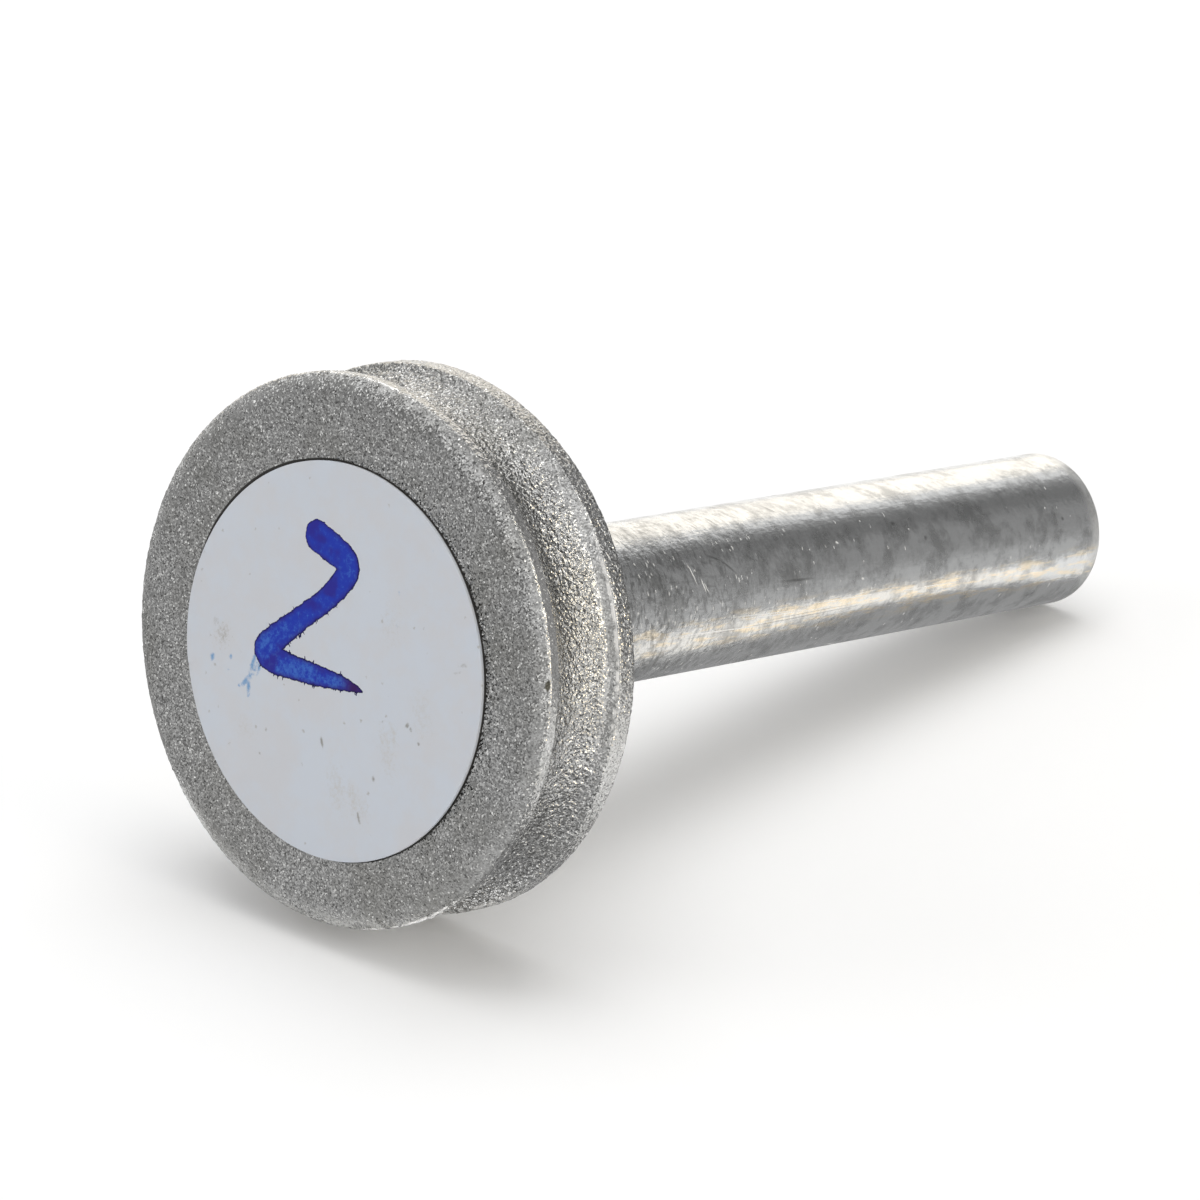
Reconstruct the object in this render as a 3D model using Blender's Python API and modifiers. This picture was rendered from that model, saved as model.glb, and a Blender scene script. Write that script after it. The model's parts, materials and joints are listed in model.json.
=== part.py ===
# Diamond grinding bit: a grooved disc head on a plain round shank, with a round paper label
# stuck to the face of the head. It lies on the rim of its head and the foot of its shank, with
# the face towards -Y. All sizes are in metres, +Z is up, and the origin is on the floor below
# the middle of the bit.

import math

import bmesh
import bpy

# Driving dimensions of the turned body
SHANK_DIAMETER = 0.0060
SHANK_LENGTH = 0.0358
SHANK_END_CHAMFER = 0.0003
SHANK_ROOT_FILLET = 0.0006
HEAD_DIAMETER = 0.0200
HEAD_THICKNESS = 0.0051

# The rounded corner where each flat side of the head runs out to the rim
EDGE_RADIUS = 0.00125
EDGE_SWEEP = math.radians(44.0)
CREST_ROUND = 0.00018

# The rim: a narrow land, the hollow groove, and a wider land towards the shank
FACE_LAND = 0.00045
REAR_LAND = 0.00080
GROOVE_DEPTH = 0.00085
LIP_ROUND = 0.00010

# The label, which was stuck on a little off the centre by hand
LABEL_DIAMETER = 0.0144
LABEL_THICKNESS = 0.00015
LABEL_OFFSET = (0.0001, -0.0003)
ADHESIVE_GAP = 0.00002

# How finely the round shapes are divided
TURNED_STEPS = 80
LABEL_STEPS = 80
GROOVE_STEPS = 12
EDGE_STEPS = 6
FILLET_STEPS = 4
CORNER_STEPS = 3
MERGE_DISTANCE = 0.000001
SMOOTH_ANGLE = math.radians(30.0)

# Finishes: colour, metallic value and roughness
PLATED_STEEL = ((0.30, 0.30, 0.29, 1.0), 1.0, 0.42)
LABEL_PAPER = ((0.62, 0.65, 0.70, 1.0), 0.0, 0.45)


def arc(centre, radius, start, end, steps):
    """Points along a circular arc in the (radius, height) plane, both ends included."""
    points = []
    for step in range(steps + 1):
        angle = start + (end - start) * step / steps
        points.append((centre[0] + radius * math.cos(angle), centre[1] + radius * math.sin(angle)))
    return points


def round_corner(before, corner, after, radius, steps):
    """Replace a corner of the outline by an arc that touches both of its straight sides."""
    to_before = (before[0] - corner[0], before[1] - corner[1])
    to_after = (after[0] - corner[0], after[1] - corner[1])
    length_before = math.hypot(*to_before)
    length_after = math.hypot(*to_after)
    unit_before = (to_before[0] / length_before, to_before[1] / length_before)
    unit_after = (to_after[0] / length_after, to_after[1] / length_after)
    half_angle = 0.5 * math.acos(unit_before[0] * unit_after[0] + unit_before[1] * unit_after[1])
    setback = min(radius / math.tan(half_angle), 0.45 * length_before, 0.45 * length_after)
    radius = setback * math.tan(half_angle)
    middle = (unit_before[0] + unit_after[0], unit_before[1] + unit_after[1])
    reach = radius / math.sin(half_angle) / math.hypot(*middle)
    centre = (corner[0] + middle[0] * reach, corner[1] + middle[1] * reach)
    first = (corner[0] + unit_before[0] * setback, corner[1] + unit_before[1] * setback)
    last = (corner[0] + unit_after[0] * setback, corner[1] + unit_after[1] * setback)
    start = math.atan2(first[1] - centre[1], first[0] - centre[0])
    sweep = math.atan2(last[1] - centre[1], last[0] - centre[0]) - start
    sweep = (sweep + math.pi) % (2.0 * math.pi) - math.pi
    return arc(centre, radius, start, start + sweep, steps)


def soften(outline, corners):
    """Round the named corners of an outline: corners maps a point's index to its radius."""
    softened = []
    for index, point in enumerate(outline):
        if index in corners:
            before = outline[index - 1]
            after = outline[index + 1]
            softened += round_corner(before, point, after, corners[index], CORNER_STEPS)
        else:
            softened.append(point)
    return softened


def groove_arc(rim_radius, upper, lower):
    """The hollow of the rim, an arc from the upper lip down to the lower one."""
    half_width = 0.5 * (upper - lower)
    radius = (half_width ** 2 + GROOVE_DEPTH ** 2) / (2.0 * GROOVE_DEPTH)
    centre = (rim_radius - GROOVE_DEPTH + radius, 0.5 * (upper + lower))
    half_sweep = math.asin(half_width / radius)
    if GROOVE_DEPTH > half_width:
        half_sweep = math.pi - half_sweep
    return arc(centre, radius, math.pi - half_sweep, math.pi + half_sweep, GROOVE_STEPS)


def body_outline():
    """Outer side of the turned body from the centre of the face down to the shank's end."""
    shank_radius = 0.5 * SHANK_DIAMETER
    rim_radius = 0.5 * HEAD_DIAMETER
    face = SHANK_LENGTH + HEAD_THICKNESS
    back = SHANK_LENGTH
    edge_run = EDGE_RADIUS * math.sin(EDGE_SWEEP)
    edge_fall = EDGE_RADIUS * (1.0 - math.cos(EDGE_SWEEP))
    quarter = 0.5 * math.pi

    face_edge = arc((rim_radius - edge_run, face - EDGE_RADIUS), EDGE_RADIUS,
                    quarter, quarter - EDGE_SWEEP, EDGE_STEPS)
    upper_lip = face - edge_fall - FACE_LAND
    lower_lip = back + edge_fall + REAR_LAND
    groove = groove_arc(rim_radius, upper_lip, lower_lip)
    rear_edge = arc((rim_radius - edge_run, back + EDGE_RADIUS), EDGE_RADIUS,
                    EDGE_SWEEP - quarter, -quarter, EDGE_STEPS)
    rim = face_edge + groove + rear_edge
    first_lip = len(face_edge)
    last_lip = first_lip + len(groove) - 1
    rim = soften(rim, {
        first_lip - 1: CREST_ROUND,
        first_lip: LIP_ROUND,
        last_lip: LIP_ROUND,
        last_lip + 1: CREST_ROUND,
    })

    root = arc((shank_radius + SHANK_ROOT_FILLET, back - SHANK_ROOT_FILLET), SHANK_ROOT_FILLET,
               quarter, 2.0 * quarter, FILLET_STEPS)
    end = [
        (shank_radius, SHANK_END_CHAMFER),
        (shank_radius - SHANK_END_CHAMFER, 0.0),
        (0.0, 0.0),
    ]
    return [(0.0, face)] + rim + root + end


def label_outline():
    """Outer side of the label from the centre of its top to the centre of its back."""
    radius = 0.5 * LABEL_DIAMETER
    top = ADHESIVE_GAP + LABEL_THICKNESS
    return [(0.0, top), (radius, top), (radius, ADHESIVE_GAP), (0.0, ADHESIVE_GAP)]


def make_material(name, finish):
    """A Principled BSDF material from a colour, a metallic value and a roughness."""
    colour, metallic, roughness = finish
    material = bpy.data.materials.new(name)
    material.use_nodes = True
    shader = material.node_tree.nodes["Principled BSDF"]
    shader.inputs["Base Color"].default_value = colour
    shader.inputs["Metallic"].default_value = metallic
    shader.inputs["Roughness"].default_value = roughness
    material.diffuse_color = colour
    return material


def turn(name, outline, steps, material, collection):
    """A turned solid: the outline as an edge chain, swept once round the Z axis."""
    chain_mesh = bpy.data.meshes.new(name + "_outline")
    chain = bmesh.new()
    vertices = [chain.verts.new((radius, 0.0, height)) for radius, height in outline]
    for upper, lower in zip(vertices, vertices[1:]):
        chain.edges.new((upper, lower))
    chain.to_mesh(chain_mesh)
    chain.free()
    piece = bpy.data.objects.new(name, chain_mesh)
    collection.objects.link(piece)

    sweep = piece.modifiers.new("Turn", 'SCREW')
    sweep.axis = 'Z'
    sweep.angle = 2.0 * math.pi
    sweep.steps = steps
    sweep.render_steps = steps
    sweep.use_merge_vertices = True
    sweep.merge_threshold = MERGE_DISTANCE

    # The swept mesh replaces the outline, so that its sharp edges can be marked
    graph = bpy.context.evaluated_depsgraph_get()
    solid = bpy.data.meshes.new_from_object(piece.evaluated_get(graph))
    solid.name = name
    solid.materials.append(material)
    solid.shade_smooth()
    solid.set_sharp_from_angle(angle=SMOOTH_ANGLE)
    piece.modifiers.remove(sweep)
    piece.data = solid
    bpy.data.meshes.remove(chain_mesh)
    return piece


def clear_scene():
    """Remove every object that the file opened with."""
    for leftover in list(bpy.data.objects):
        bpy.data.objects.remove(leftover, do_unlink=True)


def resting_place(outline, flat_ratio):
    """Slope, place along Y and height of the axis at the shank's end, with the bit lying down.

    The bit lies on the foot of its shank and on whatever part of the head reaches lowest. Flats of
    the turned facets face the floor, so each radius counts only with the given ratio.
    """
    foot = 0.5 * SHANK_DIAMETER * flat_ratio
    section = [(radius * flat_ratio, height) for radius, height in outline]
    slope = max(math.atan2(radius - foot, height - SHANK_END_CHAMFER)
                for radius, height in section if height > SHANK_END_CHAMFER)
    front = max(radius * math.sin(slope) + height * math.cos(slope) for radius, height in section)
    back = max(radius * math.sin(slope) - height * math.cos(slope) for radius, height in section)
    rise = foot * math.cos(slope) - SHANK_END_CHAMFER * math.sin(slope)
    return slope, 0.5 * (front - back), rise


def build():
    """Make the turned body and the label, seat the label on the face and lay the bit down."""
    clear_scene()
    collection = bpy.data.collections.new("diamond_grinding_bit")
    bpy.context.scene.collection.children.link(collection)

    outline = body_outline()
    steel = make_material("plated_steel", PLATED_STEEL)
    body = turn("bit_body", outline, TURNED_STEPS, steel, collection)
    half_facet = math.pi / TURNED_STEPS
    body.rotation_euler = (0.0, 0.0, half_facet)

    paper = make_material("label_paper", LABEL_PAPER)
    label = turn("label", label_outline(), LABEL_STEPS, paper, collection)
    label.location = (LABEL_OFFSET[0], LABEL_OFFSET[1], SHANK_LENGTH + HEAD_THICKNESS)

    # The axis slopes down from the face, which looks towards -Y, to the end of the shank
    slope, shank_end, rise = resting_place(outline, math.cos(half_facet))
    axis = bpy.data.objects.new("axis", None)
    axis.rotation_euler = (0.5 * math.pi - slope, 0.0, 0.0)
    axis.location = (0.0, shank_end, rise)
    collection.objects.link(axis)
    body.parent = axis
    label.parent = axis


build()
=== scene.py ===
"""Looks of a diamond grinding bit that lies on the rim of its head and the foot of its shank.

The turned body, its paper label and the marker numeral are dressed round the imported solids, and
stand on a pale floor in a small photographic studio.
"""

import json
import logging
import math
from dataclasses import dataclass, field
from enum import Enum
from typing import Any, Sequence

import bpy
import numpy as np
from mathutils import Matrix, Vector


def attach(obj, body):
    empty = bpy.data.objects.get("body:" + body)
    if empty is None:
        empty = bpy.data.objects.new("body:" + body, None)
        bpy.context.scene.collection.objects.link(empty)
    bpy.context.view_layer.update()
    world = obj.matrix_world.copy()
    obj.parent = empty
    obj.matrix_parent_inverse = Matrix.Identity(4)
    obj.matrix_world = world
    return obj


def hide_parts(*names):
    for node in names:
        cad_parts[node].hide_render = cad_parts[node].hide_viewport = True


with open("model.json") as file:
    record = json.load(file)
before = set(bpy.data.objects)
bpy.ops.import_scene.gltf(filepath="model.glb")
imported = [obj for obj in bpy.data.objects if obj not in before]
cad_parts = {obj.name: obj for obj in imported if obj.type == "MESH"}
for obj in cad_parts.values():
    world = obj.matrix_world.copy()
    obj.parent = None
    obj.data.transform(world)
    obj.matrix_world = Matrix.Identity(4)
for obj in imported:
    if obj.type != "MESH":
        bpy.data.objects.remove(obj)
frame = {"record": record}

LOG = logging.getLogger("grinding_bit")
MM = 0.001
FULL_TURN = 2.0 * math.pi
ROOT_BODY = "root"

# Sockets of the colour form of Blender's Mix node, which share their names with its other forms
MIX_FACTOR, MIX_A, MIX_B, MIX_RESULT = 0, 6, 7, 2

Line = np.ndarray
Socket = bpy.types.NodeSocket


class Slot(Enum):
    """Names of the record's material slots."""

    STEEL = "plated_steel"
    PAPER = "label_paper"


class Zone(Enum):
    """Stretches of the body's outline, from the centre of the face to the end of the shank."""

    HIDDEN_FACE = "under the label"
    FACE = "face"
    EDGE = "rounded edge of the face"
    LAND = "front land"
    GROOVE = "groove"
    REAR_LAND = "rear land"
    REAR_EDGE = "rounded edge of the back"
    BACK = "back"
    SHANK = "shank"
    FOOT = "chamfer of the shank's end"
    END = "end of the shank"


def srgb(colour: str) -> tuple[float, float, float, float]:
    """Turn a hex colour into linear light.

    Args:
        colour: six hex digits with a leading #, in sRGB.

    Returns:
        Red, green, blue and an alpha of 1, in linear light.
    """
    channels = [int(colour[start:start + 2], 16) / 255.0 for start in (1, 3, 5)]
    linear = [c / 12.92 if c <= 0.04045 else ((c + 0.055) / 1.055) ** 2.4 for c in channels]
    return (linear[0], linear[1], linear[2], 1.0)


def add_node(tree: bpy.types.NodeTree, kind: str, settings: dict[str, Any] | None = None,
             inputs: dict[str | int, Any] | None = None) -> bpy.types.Node:
    """Add a node with its settings and links.

    Args:
        tree: the node tree that the node goes into.
        kind: Blender's name of the kind of node.
        settings: values of the node's own properties.
        inputs: for each input socket, a constant or the output socket that feeds it.

    Returns:
        The new node.
    """
    node = tree.nodes.new(kind)
    for name, value in (settings or {}).items():
        setattr(node, name, value)
    for name, value in (inputs or {}).items():
        if isinstance(value, Socket):
            tree.links.new(value, node.inputs[name])
        else:
            node.inputs[name].default_value = value
    return node


def new_material(name: str) -> tuple[bpy.types.Material, bpy.types.NodeTree]:
    """Make an empty node material.

    Args:
        name: the finish's name.

    Returns:
        The material and its node tree, with nothing in it.
    """
    material = bpy.data.materials.new(name)
    material.use_nodes = True
    material.node_tree.nodes.clear()
    return material, material.node_tree


def finish_tree(tree: bpy.types.NodeTree, surface: Socket) -> None:
    """Link a surface shader to the material's output."""
    add_node(tree, "ShaderNodeOutputMaterial", inputs={"Surface": surface})


def resample(line: Line, spacing: float) -> Line:
    """Space points evenly along a line.

    Args:
        line: the line's points, one a row.
        spacing: the wished distance between points.

    Returns:
        Points at even steps, with both ends of the line among them.
    """
    steps = np.linalg.norm(np.diff(line, axis=0), axis=1)
    along = np.concatenate(([0.0], np.cumsum(steps)))
    count = max(1, round(along[-1] / spacing))
    places = np.linspace(0.0, along[-1], count + 1)
    return np.column_stack([np.interp(places, along, line[:, axis]) for axis in range(line.shape[1])])


def arc(centre: tuple[float, float], radius: float, start: float, end: float, steps: int = 48) -> Line:
    """Follow a circular arc in the plane of radius and height.

    Args:
        centre: the arc's centre.
        radius: its radius.
        start: the angle where it starts, in radians.
        end: the angle where it ends, in radians.
        steps: how many straight steps stand for it.

    Returns:
        The arc's points, both ends included.
    """
    angles = np.linspace(start, end, steps + 1)
    return np.column_stack([centre[0] + radius * np.cos(angles), centre[1] + radius * np.sin(angles)])


def smooth_curve(points: Sequence[Sequence[float]], spacing: float) -> Line:
    """Draw a smooth curve through given points.

    Args:
        points: the curve's points, with any values that change along it after the first two.
        spacing: the wished distance between the points that are returned.

    Returns:
        Evenly spaced points of a Catmull-Rom curve, with the further values carried along.
    """
    knots = np.array(points, float)
    padded = np.vstack([2.0 * knots[0] - knots[1], knots, 2.0 * knots[-1] - knots[-2]])
    t = np.linspace(0.0, 1.0, 24, endpoint=False)[:, None]
    spans = []
    for a, b, c, d in zip(padded, padded[1:], padded[2:], padded[3:]):
        spans.append(0.5 * (2.0 * b + (c - a) * t + (2.0 * a - 5.0 * b + 4.0 * c - d) * t ** 2
                            + (3.0 * b - a - 3.0 * c + d) * t ** 3))
    return resample(np.vstack(spans + [knots[-1:]]), spacing)


def patchy(angle: np.ndarray, knots: int, rng: np.random.Generator) -> np.ndarray:
    """Vary smoothly and at random round a full turn.

    Args:
        angle: angles in radians.
        knots: how many random values stand round the turn.
        rng: the source of the random values.

    Returns:
        Values from 0 to 1, which meet where the turn closes.
    """
    values = rng.random(knots)
    place = (angle / FULL_TURN * knots) % knots
    low = np.floor(place).astype(int) % knots
    share = place - np.floor(place)
    share = share * share * (3.0 - 2.0 * share)
    return values[low] * (1.0 - share) + values[(low + 1) % knots] * share


@dataclass(frozen=True)
class Ring:
    """One ring of points of a turned skin, in millimetres. A centre point is a ring of radius 0."""

    radius: float
    height: float
    columns: int
    zone: Zone


class TurnedSkin:
    """A closed skin turned round the Z axis, whose rings may differ in how many points they hold.

    Attributes:
        radius: each point's distance from the axis, in millimetres.
        height: each point's height, in millimetres.
        angle: each point's angle round the axis, in radians.
        ring: the ring that each point belongs to.
        out: each point's unit normal, as its parts along the radius and along the axis.
    """

    def __init__(self, rings: Sequence[Ring], loop: bool = False) -> None:
        """Lay out the points of every ring.

        Args:
            rings: the rings from the centre of the top, down the outer side, to the last centre.
            loop: whether the last ring joins the first, as on a washer.
        """
        self.rings = list(rings)
        self.loop = loop
        columns = np.array([ring.columns for ring in rings])
        self.starts = np.concatenate(([0], np.cumsum(columns)[:-1]))
        self.ring = np.repeat(np.arange(len(rings)), columns)
        self.radius = np.array([ring.radius for ring in rings])[self.ring]
        self.height = np.array([ring.height for ring in rings])[self.ring]
        within = np.arange(len(self.ring)) - self.starts[self.ring]
        self.angle = (FULL_TURN * within / columns[self.ring] + math.pi) % FULL_TURN - math.pi
        profile = np.array([(ring.radius, ring.height) for ring in rings])
        along = np.gradient(profile, axis=0)
        along /= np.maximum(np.linalg.norm(along, axis=1, keepdims=True), 1e-9)
        self.out = np.column_stack([-along[:, 1], along[:, 0]])[self.ring]
        self.spacing = np.linalg.norm(np.gradient(profile, axis=0), axis=1)[self.ring]

    def in_zone(self, *zones: Zone) -> np.ndarray:
        """Say for each point whether its ring is in one of the zones."""
        return np.array([ring.zone in zones for ring in self.rings])[self.ring]

    def move_out(self, amount: np.ndarray) -> None:
        """Move each point along its normal, by millimetres."""
        self.radius = self.radius + self.out[:, 0] * amount
        self.height = self.height + self.out[:, 1] * amount

    def faces(self) -> tuple[list[tuple[int, ...]], list[int]]:
        """Join each ring to the next.

        Returns:
            The faces, with their normals out, and for each face the ring above it.
        """
        faces: list[tuple[int, ...]] = []
        bands: list[int] = []
        for band in range(len(self.rings) if self.loop else len(self.rings) - 1):
            new = self._band(band)
            faces += new
            bands += [band] * len(new)
        return faces, bands

    def _band(self, band: int) -> list[tuple[int, ...]]:
        """Faces between a ring and the next, with fans where one has a multiple of the other's points."""
        below = (band + 1) % len(self.rings)
        upper = [self.starts[band] + i for i in range(self.rings[band].columns)]
        lower = [self.starts[below] + i for i in range(self.rings[below].columns)]
        flip = len(upper) > len(lower)
        few, many = (lower, upper) if flip else (upper, lower)
        ratio = len(many) // len(few)
        if ratio == 1:
            count = len(upper)
            return [(upper[i], lower[i], lower[(i + 1) % count], upper[(i + 1) % count]) for i in range(count)]
        faces = []
        middle = ratio // 2
        for j, corner in enumerate(few):
            following = few[(j + 1) % len(few)]
            for i in range(ratio):
                apex = corner if i < middle or len(few) == 1 else following
                faces.append((apex, many[j * ratio + i], many[(j * ratio + i + 1) % len(many)]))
            if len(few) > 1:
                faces.append((corner, many[j * ratio + middle], following))
        return [tuple(reversed(face)) for face in faces] if flip else faces

    def to_object(self, name: str, place: Matrix) -> tuple[bpy.types.Object, list[int]]:
        """Make the mesh where it lies.

        Args:
            name: the piece's name.
            place: where its own frame lies in the world.

        Returns:
            The new object, and for each face the ring above it.
        """
        faces, bands = self.faces()
        points = np.column_stack([self.radius * np.cos(self.angle),
                                  self.radius * np.sin(self.angle), self.height])
        mesh = bpy.data.meshes.new(name)
        mesh.from_pydata(placed(points, place).tolist(), [], faces)
        piece = bpy.data.objects.new(name, mesh)
        bpy.context.scene.collection.objects.link(piece)
        return piece, bands


def placed(points: Line, place: Matrix) -> Line:
    """Carry points from a piece's own frame, in millimetres, to their place in the world, in metres."""
    return MM * points @ np.array(place.to_3x3()).T + np.array(place.translation)


def store(piece: bpy.types.Object, name: str, values: np.ndarray) -> None:
    """Keep a number for each point of a piece, which its material reads by name."""
    attribute = piece.data.attributes.new(name, "FLOAT", "POINT")
    attribute.data.foreach_set("value", values.astype(np.float32))


@dataclass
class LyingAxis:
    """The bit's own axis as it lies, taken from the record's mount at the end of the shank."""

    end: Vector
    toward_head: Vector

    @classmethod
    def from_record(cls, record: dict[str, Any]) -> "LyingAxis":
        """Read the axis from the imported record.

        Args:
            record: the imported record.

        Returns:
            The axis, from the centre of the shank's end towards the head.
        """
        mount = next(m for m in record["mounts"] if m["name"] == "shank_end")
        return cls(Vector(mount["pos_m"]), -Vector(mount["axis"]).normalized())

    def matrix(self, height_mm: float = 0.0) -> Matrix:
        """Place of a piece that was turned round Z and starts this far along the axis."""
        across = Vector((1.0, 0.0, 0.0))
        upward = self.toward_head.cross(across)
        turn = Matrix((across, upward, self.toward_head)).transposed()
        return Matrix.Translation(self.end + self.toward_head * height_mm * MM) @ turn.to_4x4()

    def place(self, tree: bpy.types.NodeTree) -> Socket:
        """Add nodes that give a point's place in the bit's own frame, with Z up the axis."""
        world = add_node(tree, "ShaderNodeTexCoord").outputs["Object"]
        here = self.matrix()
        return add_node(tree, "ShaderNodeMapping", {"vector_type": "TEXTURE"}, {
            "Vector": world, "Location": here.translation, "Rotation": here.to_euler()}).outputs[0]


@dataclass(frozen=True)
class GritNickel:
    """Nickel that was electroplated over diamond grit: a grey skin of rounded bumps.

    The plating is satin and swells over each crystal, so the face reads as an even grey with fine sparks,
    which are pale crystals and partly painted glints, and where a lamp or a dark wall is mirrored the swells
    break it into bright and dark.
    """

    axis: LyingAxis

    # Heights of the groove's front crest and rear lip, and half the width of the line along each, which is partly
    # rubbed and partly a painted highlight
    lips_mm: tuple[float, float]
    lip_half_mm: float = 0.06
    swell_mm: float = 0.145
    swell_height_mm: float = 0.096
    chip_mm: float = 0.056
    chip_lean: float = 0.75
    bond: str = "#949493"
    crystal: str = "#dededd"
    tarnish: str = "#a09f9a"
    # Near-white crystals, partly a painted glint
    glint_crystal: str = "#fbfbf9"
    pit: str = "#5c5c5a"
    rubbed: str = "#d2d2d0"
    worn: str = "#f0efed"
    darker_colour: str = "#686866"
    chipped: str = "#66645a"
    glint_crystal_share: float = 0.08
    pit_share: float = 0.10
    roughness: tuple[float, float] = (0.10, 0.25)
    worn_roughness: float = 0.24

    def build(self) -> bpy.types.Material:
        """Make the material."""
        material, tree = new_material("diamond_grit_in_nickel")
        place = add_node(tree, "ShaderNodeTexCoord").outputs["Object"]
        chips = add_node(tree, "ShaderNodeTexVoronoi", {"feature": "F1"},
                         {"Vector": place, "Scale": 1.0 / (self.chip_mm * MM)})
        pick = add_node(tree, "ShaderNodeSeparateColor", inputs={"Color": chips.outputs["Color"]})
        wear, grit, swell, rub, darker_stretch, chipped = (
            add_node(tree, "ShaderNodeAttribute", {"attribute_name": name}).outputs["Fac"]
            for name in ("wear", "grit", "swell", "rubbed", "darker_stretch", "chip"))
        lip = self.lip_highlight_line(tree)
        # The lip line, partly rubbed and partly a painted highlight, takes the worn colour with the wear
        wear = add_node(tree, "ShaderNodeMath", {"operation": "MAXIMUM"}, {0: wear, 1: lip}).outputs[0]
        patches = add_node(tree, "ShaderNodeTexNoise", inputs={
            "Vector": place, "Scale": 1300.0, "Detail": 3.0, "Roughness": 0.6}).outputs["Fac"]
        patches = add_node(tree, "ShaderNodeMapRange", {"interpolation_type": "SMOOTHSTEP"}, {
            "Value": patches, "From Min": 0.49, "From Max": 0.60}).outputs["Result"]
        patches = add_node(tree, "ShaderNodeMath", {"operation": "MULTIPLY"}, {0: patches, 1: rub}).outputs[0]

        # Colour: bond and crystals, a tarnish that comes and goes over some millimetres, rubbed patches on the
        #         rounded edge, a darker stretch of crest and rear edge, worn rims whose lip lines are partly a
        #         painted highlight, near-white crystals that are partly painted glints, and crystals that are torn
        #         out
        glint_crystal = add_node(tree, "ShaderNodeMapRange", inputs={
            "Value": pick.outputs["Blue"], "From Min": 1.0 - self.glint_crystal_share}).outputs["Result"]
        pit = add_node(tree, "ShaderNodeMapRange", inputs={
            "Value": pick.outputs["Green"], "From Min": self.pit_share, "From Max": 0.0}).outputs["Result"]
        clouds = add_node(tree, "ShaderNodeTexNoise", inputs={
            "Vector": place, "Scale": 260.0, "Detail": 4.0, "Roughness": 0.65}).outputs["Fac"]
        haze = add_node(tree, "ShaderNodeMapRange", {"interpolation_type": "SMOOTHSTEP"}, {
            "Value": clouds, "From Min": 0.40, "From Max": 0.70, "To Max": 0.6}).outputs["Result"]
        half_rubbed = add_node(tree, "ShaderNodeMath", {"operation": "MULTIPLY"}, {0: patches, 1: 0.5}).outputs[0]
        chipped = add_node(tree, "ShaderNodeMapRange", {"interpolation_type": "SMOOTHSTEP"}, {
            "Value": chipped, "From Min": 0.25, "From Max": 0.50}).outputs["Result"]
        colour = add_node(tree, "ShaderNodeMix", {"data_type": "RGBA"}, {
            MIX_FACTOR: pick.outputs["Red"], MIX_A: srgb(self.bond),
            MIX_B: srgb(self.crystal)}).outputs[MIX_RESULT]
        for cover, tint in ((haze, self.tarnish), (pit, self.pit), (half_rubbed, self.rubbed),
                            (darker_stretch, self.darker_colour), (wear, self.worn), (glint_crystal, self.glint_crystal),
                            (chipped, self.chipped)):
            colour = add_node(tree, "ShaderNodeMix", {"data_type": "RGBA"}, {
                MIX_FACTOR: cover, MIX_A: colour, MIX_B: srgb(tint)}).outputs[MIX_RESULT]

        # Gloss: each crystal has its own, and worn sides are burnished. A pale crystal is partly clear stone and
        #         the lip line partly rubbed; both scatter light as a matt surface does, as painted glints and a
        #         painted highlight
        gloss = add_node(tree, "ShaderNodeMapRange", inputs={
            "Value": pick.outputs["Green"], "To Min": self.roughness[0], "To Max": self.roughness[1]})
        roughness = add_node(tree, "ShaderNodeMix", {"data_type": "FLOAT"}, {
            "Factor": wear, "A": gloss.outputs["Result"], "B": self.worn_roughness}).outputs[0]
        scatter = add_node(tree, "ShaderNodeMath", {"operation": "MAXIMUM"}, {0: glint_crystal, 1: lip}).outputs[0]
        metallic = add_node(tree, "ShaderNodeMapRange", inputs={
            "Value": scatter, "To Min": 1.0, "To Max": 0.28}).outputs["Result"]

        # Swells over the crystals, and chips that lean at random, both flatter where they are worn
        flat = add_node(tree, "ShaderNodeMath", {"operation": "MAXIMUM"}, {0: wear, 1: half_rubbed}).outputs[0]
        keen = add_node(tree, "ShaderNodeMapRange", inputs={
            "Value": flat, "To Min": 1.0, "To Max": 0.2}).outputs["Result"]
        worms = add_node(tree, "ShaderNodeTexNoise", inputs={
            "Vector": place, "Scale": 1.0 / (self.swell_mm * MM), "Detail": 1.0}).outputs["Fac"]
        worms = add_node(tree, "ShaderNodeMath", {"operation": "MULTIPLY"}, {0: worms, 1: swell}).outputs[0]
        worms = add_node(tree, "ShaderNodeMath", {"operation": "MULTIPLY"}, {0: worms, 1: keen}).outputs[0]
        swells = add_node(tree, "ShaderNodeBump", inputs={
            "Strength": 1.0, "Distance": self.swell_height_mm * MM, "Height": worms}).outputs["Normal"]
        centred = add_node(tree, "ShaderNodeVectorMath", {"operation": "SUBTRACT"}, {
            0: chips.outputs["Color"], 1: (0.5, 0.5, 0.5)}).outputs[0]
        reach = add_node(tree, "ShaderNodeMath", {"operation": "MULTIPLY"}, {0: grit, 1: keen}).outputs[0]
        reach = add_node(tree, "ShaderNodeMath", {"operation": "MULTIPLY"}, {
            0: reach, 1: self.chip_lean}).outputs[0]
        lean = add_node(tree, "ShaderNodeVectorMath", {"operation": "SCALE"}, {
            0: centred, "Scale": reach}).outputs[0]
        tilted = add_node(tree, "ShaderNodeVectorMath", {"operation": "ADD"}, {0: swells, 1: lean})
        facing = add_node(tree, "ShaderNodeVectorMath", {"operation": "NORMALIZE"}, {0: tilted.outputs[0]})

        shader = add_node(tree, "ShaderNodeBsdfPrincipled", inputs={
            "Base Color": colour, "Metallic": metallic, "Roughness": roughness, "Normal": facing.outputs[0]})
        finish_tree(tree, shader.outputs["BSDF"])
        return material

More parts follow.
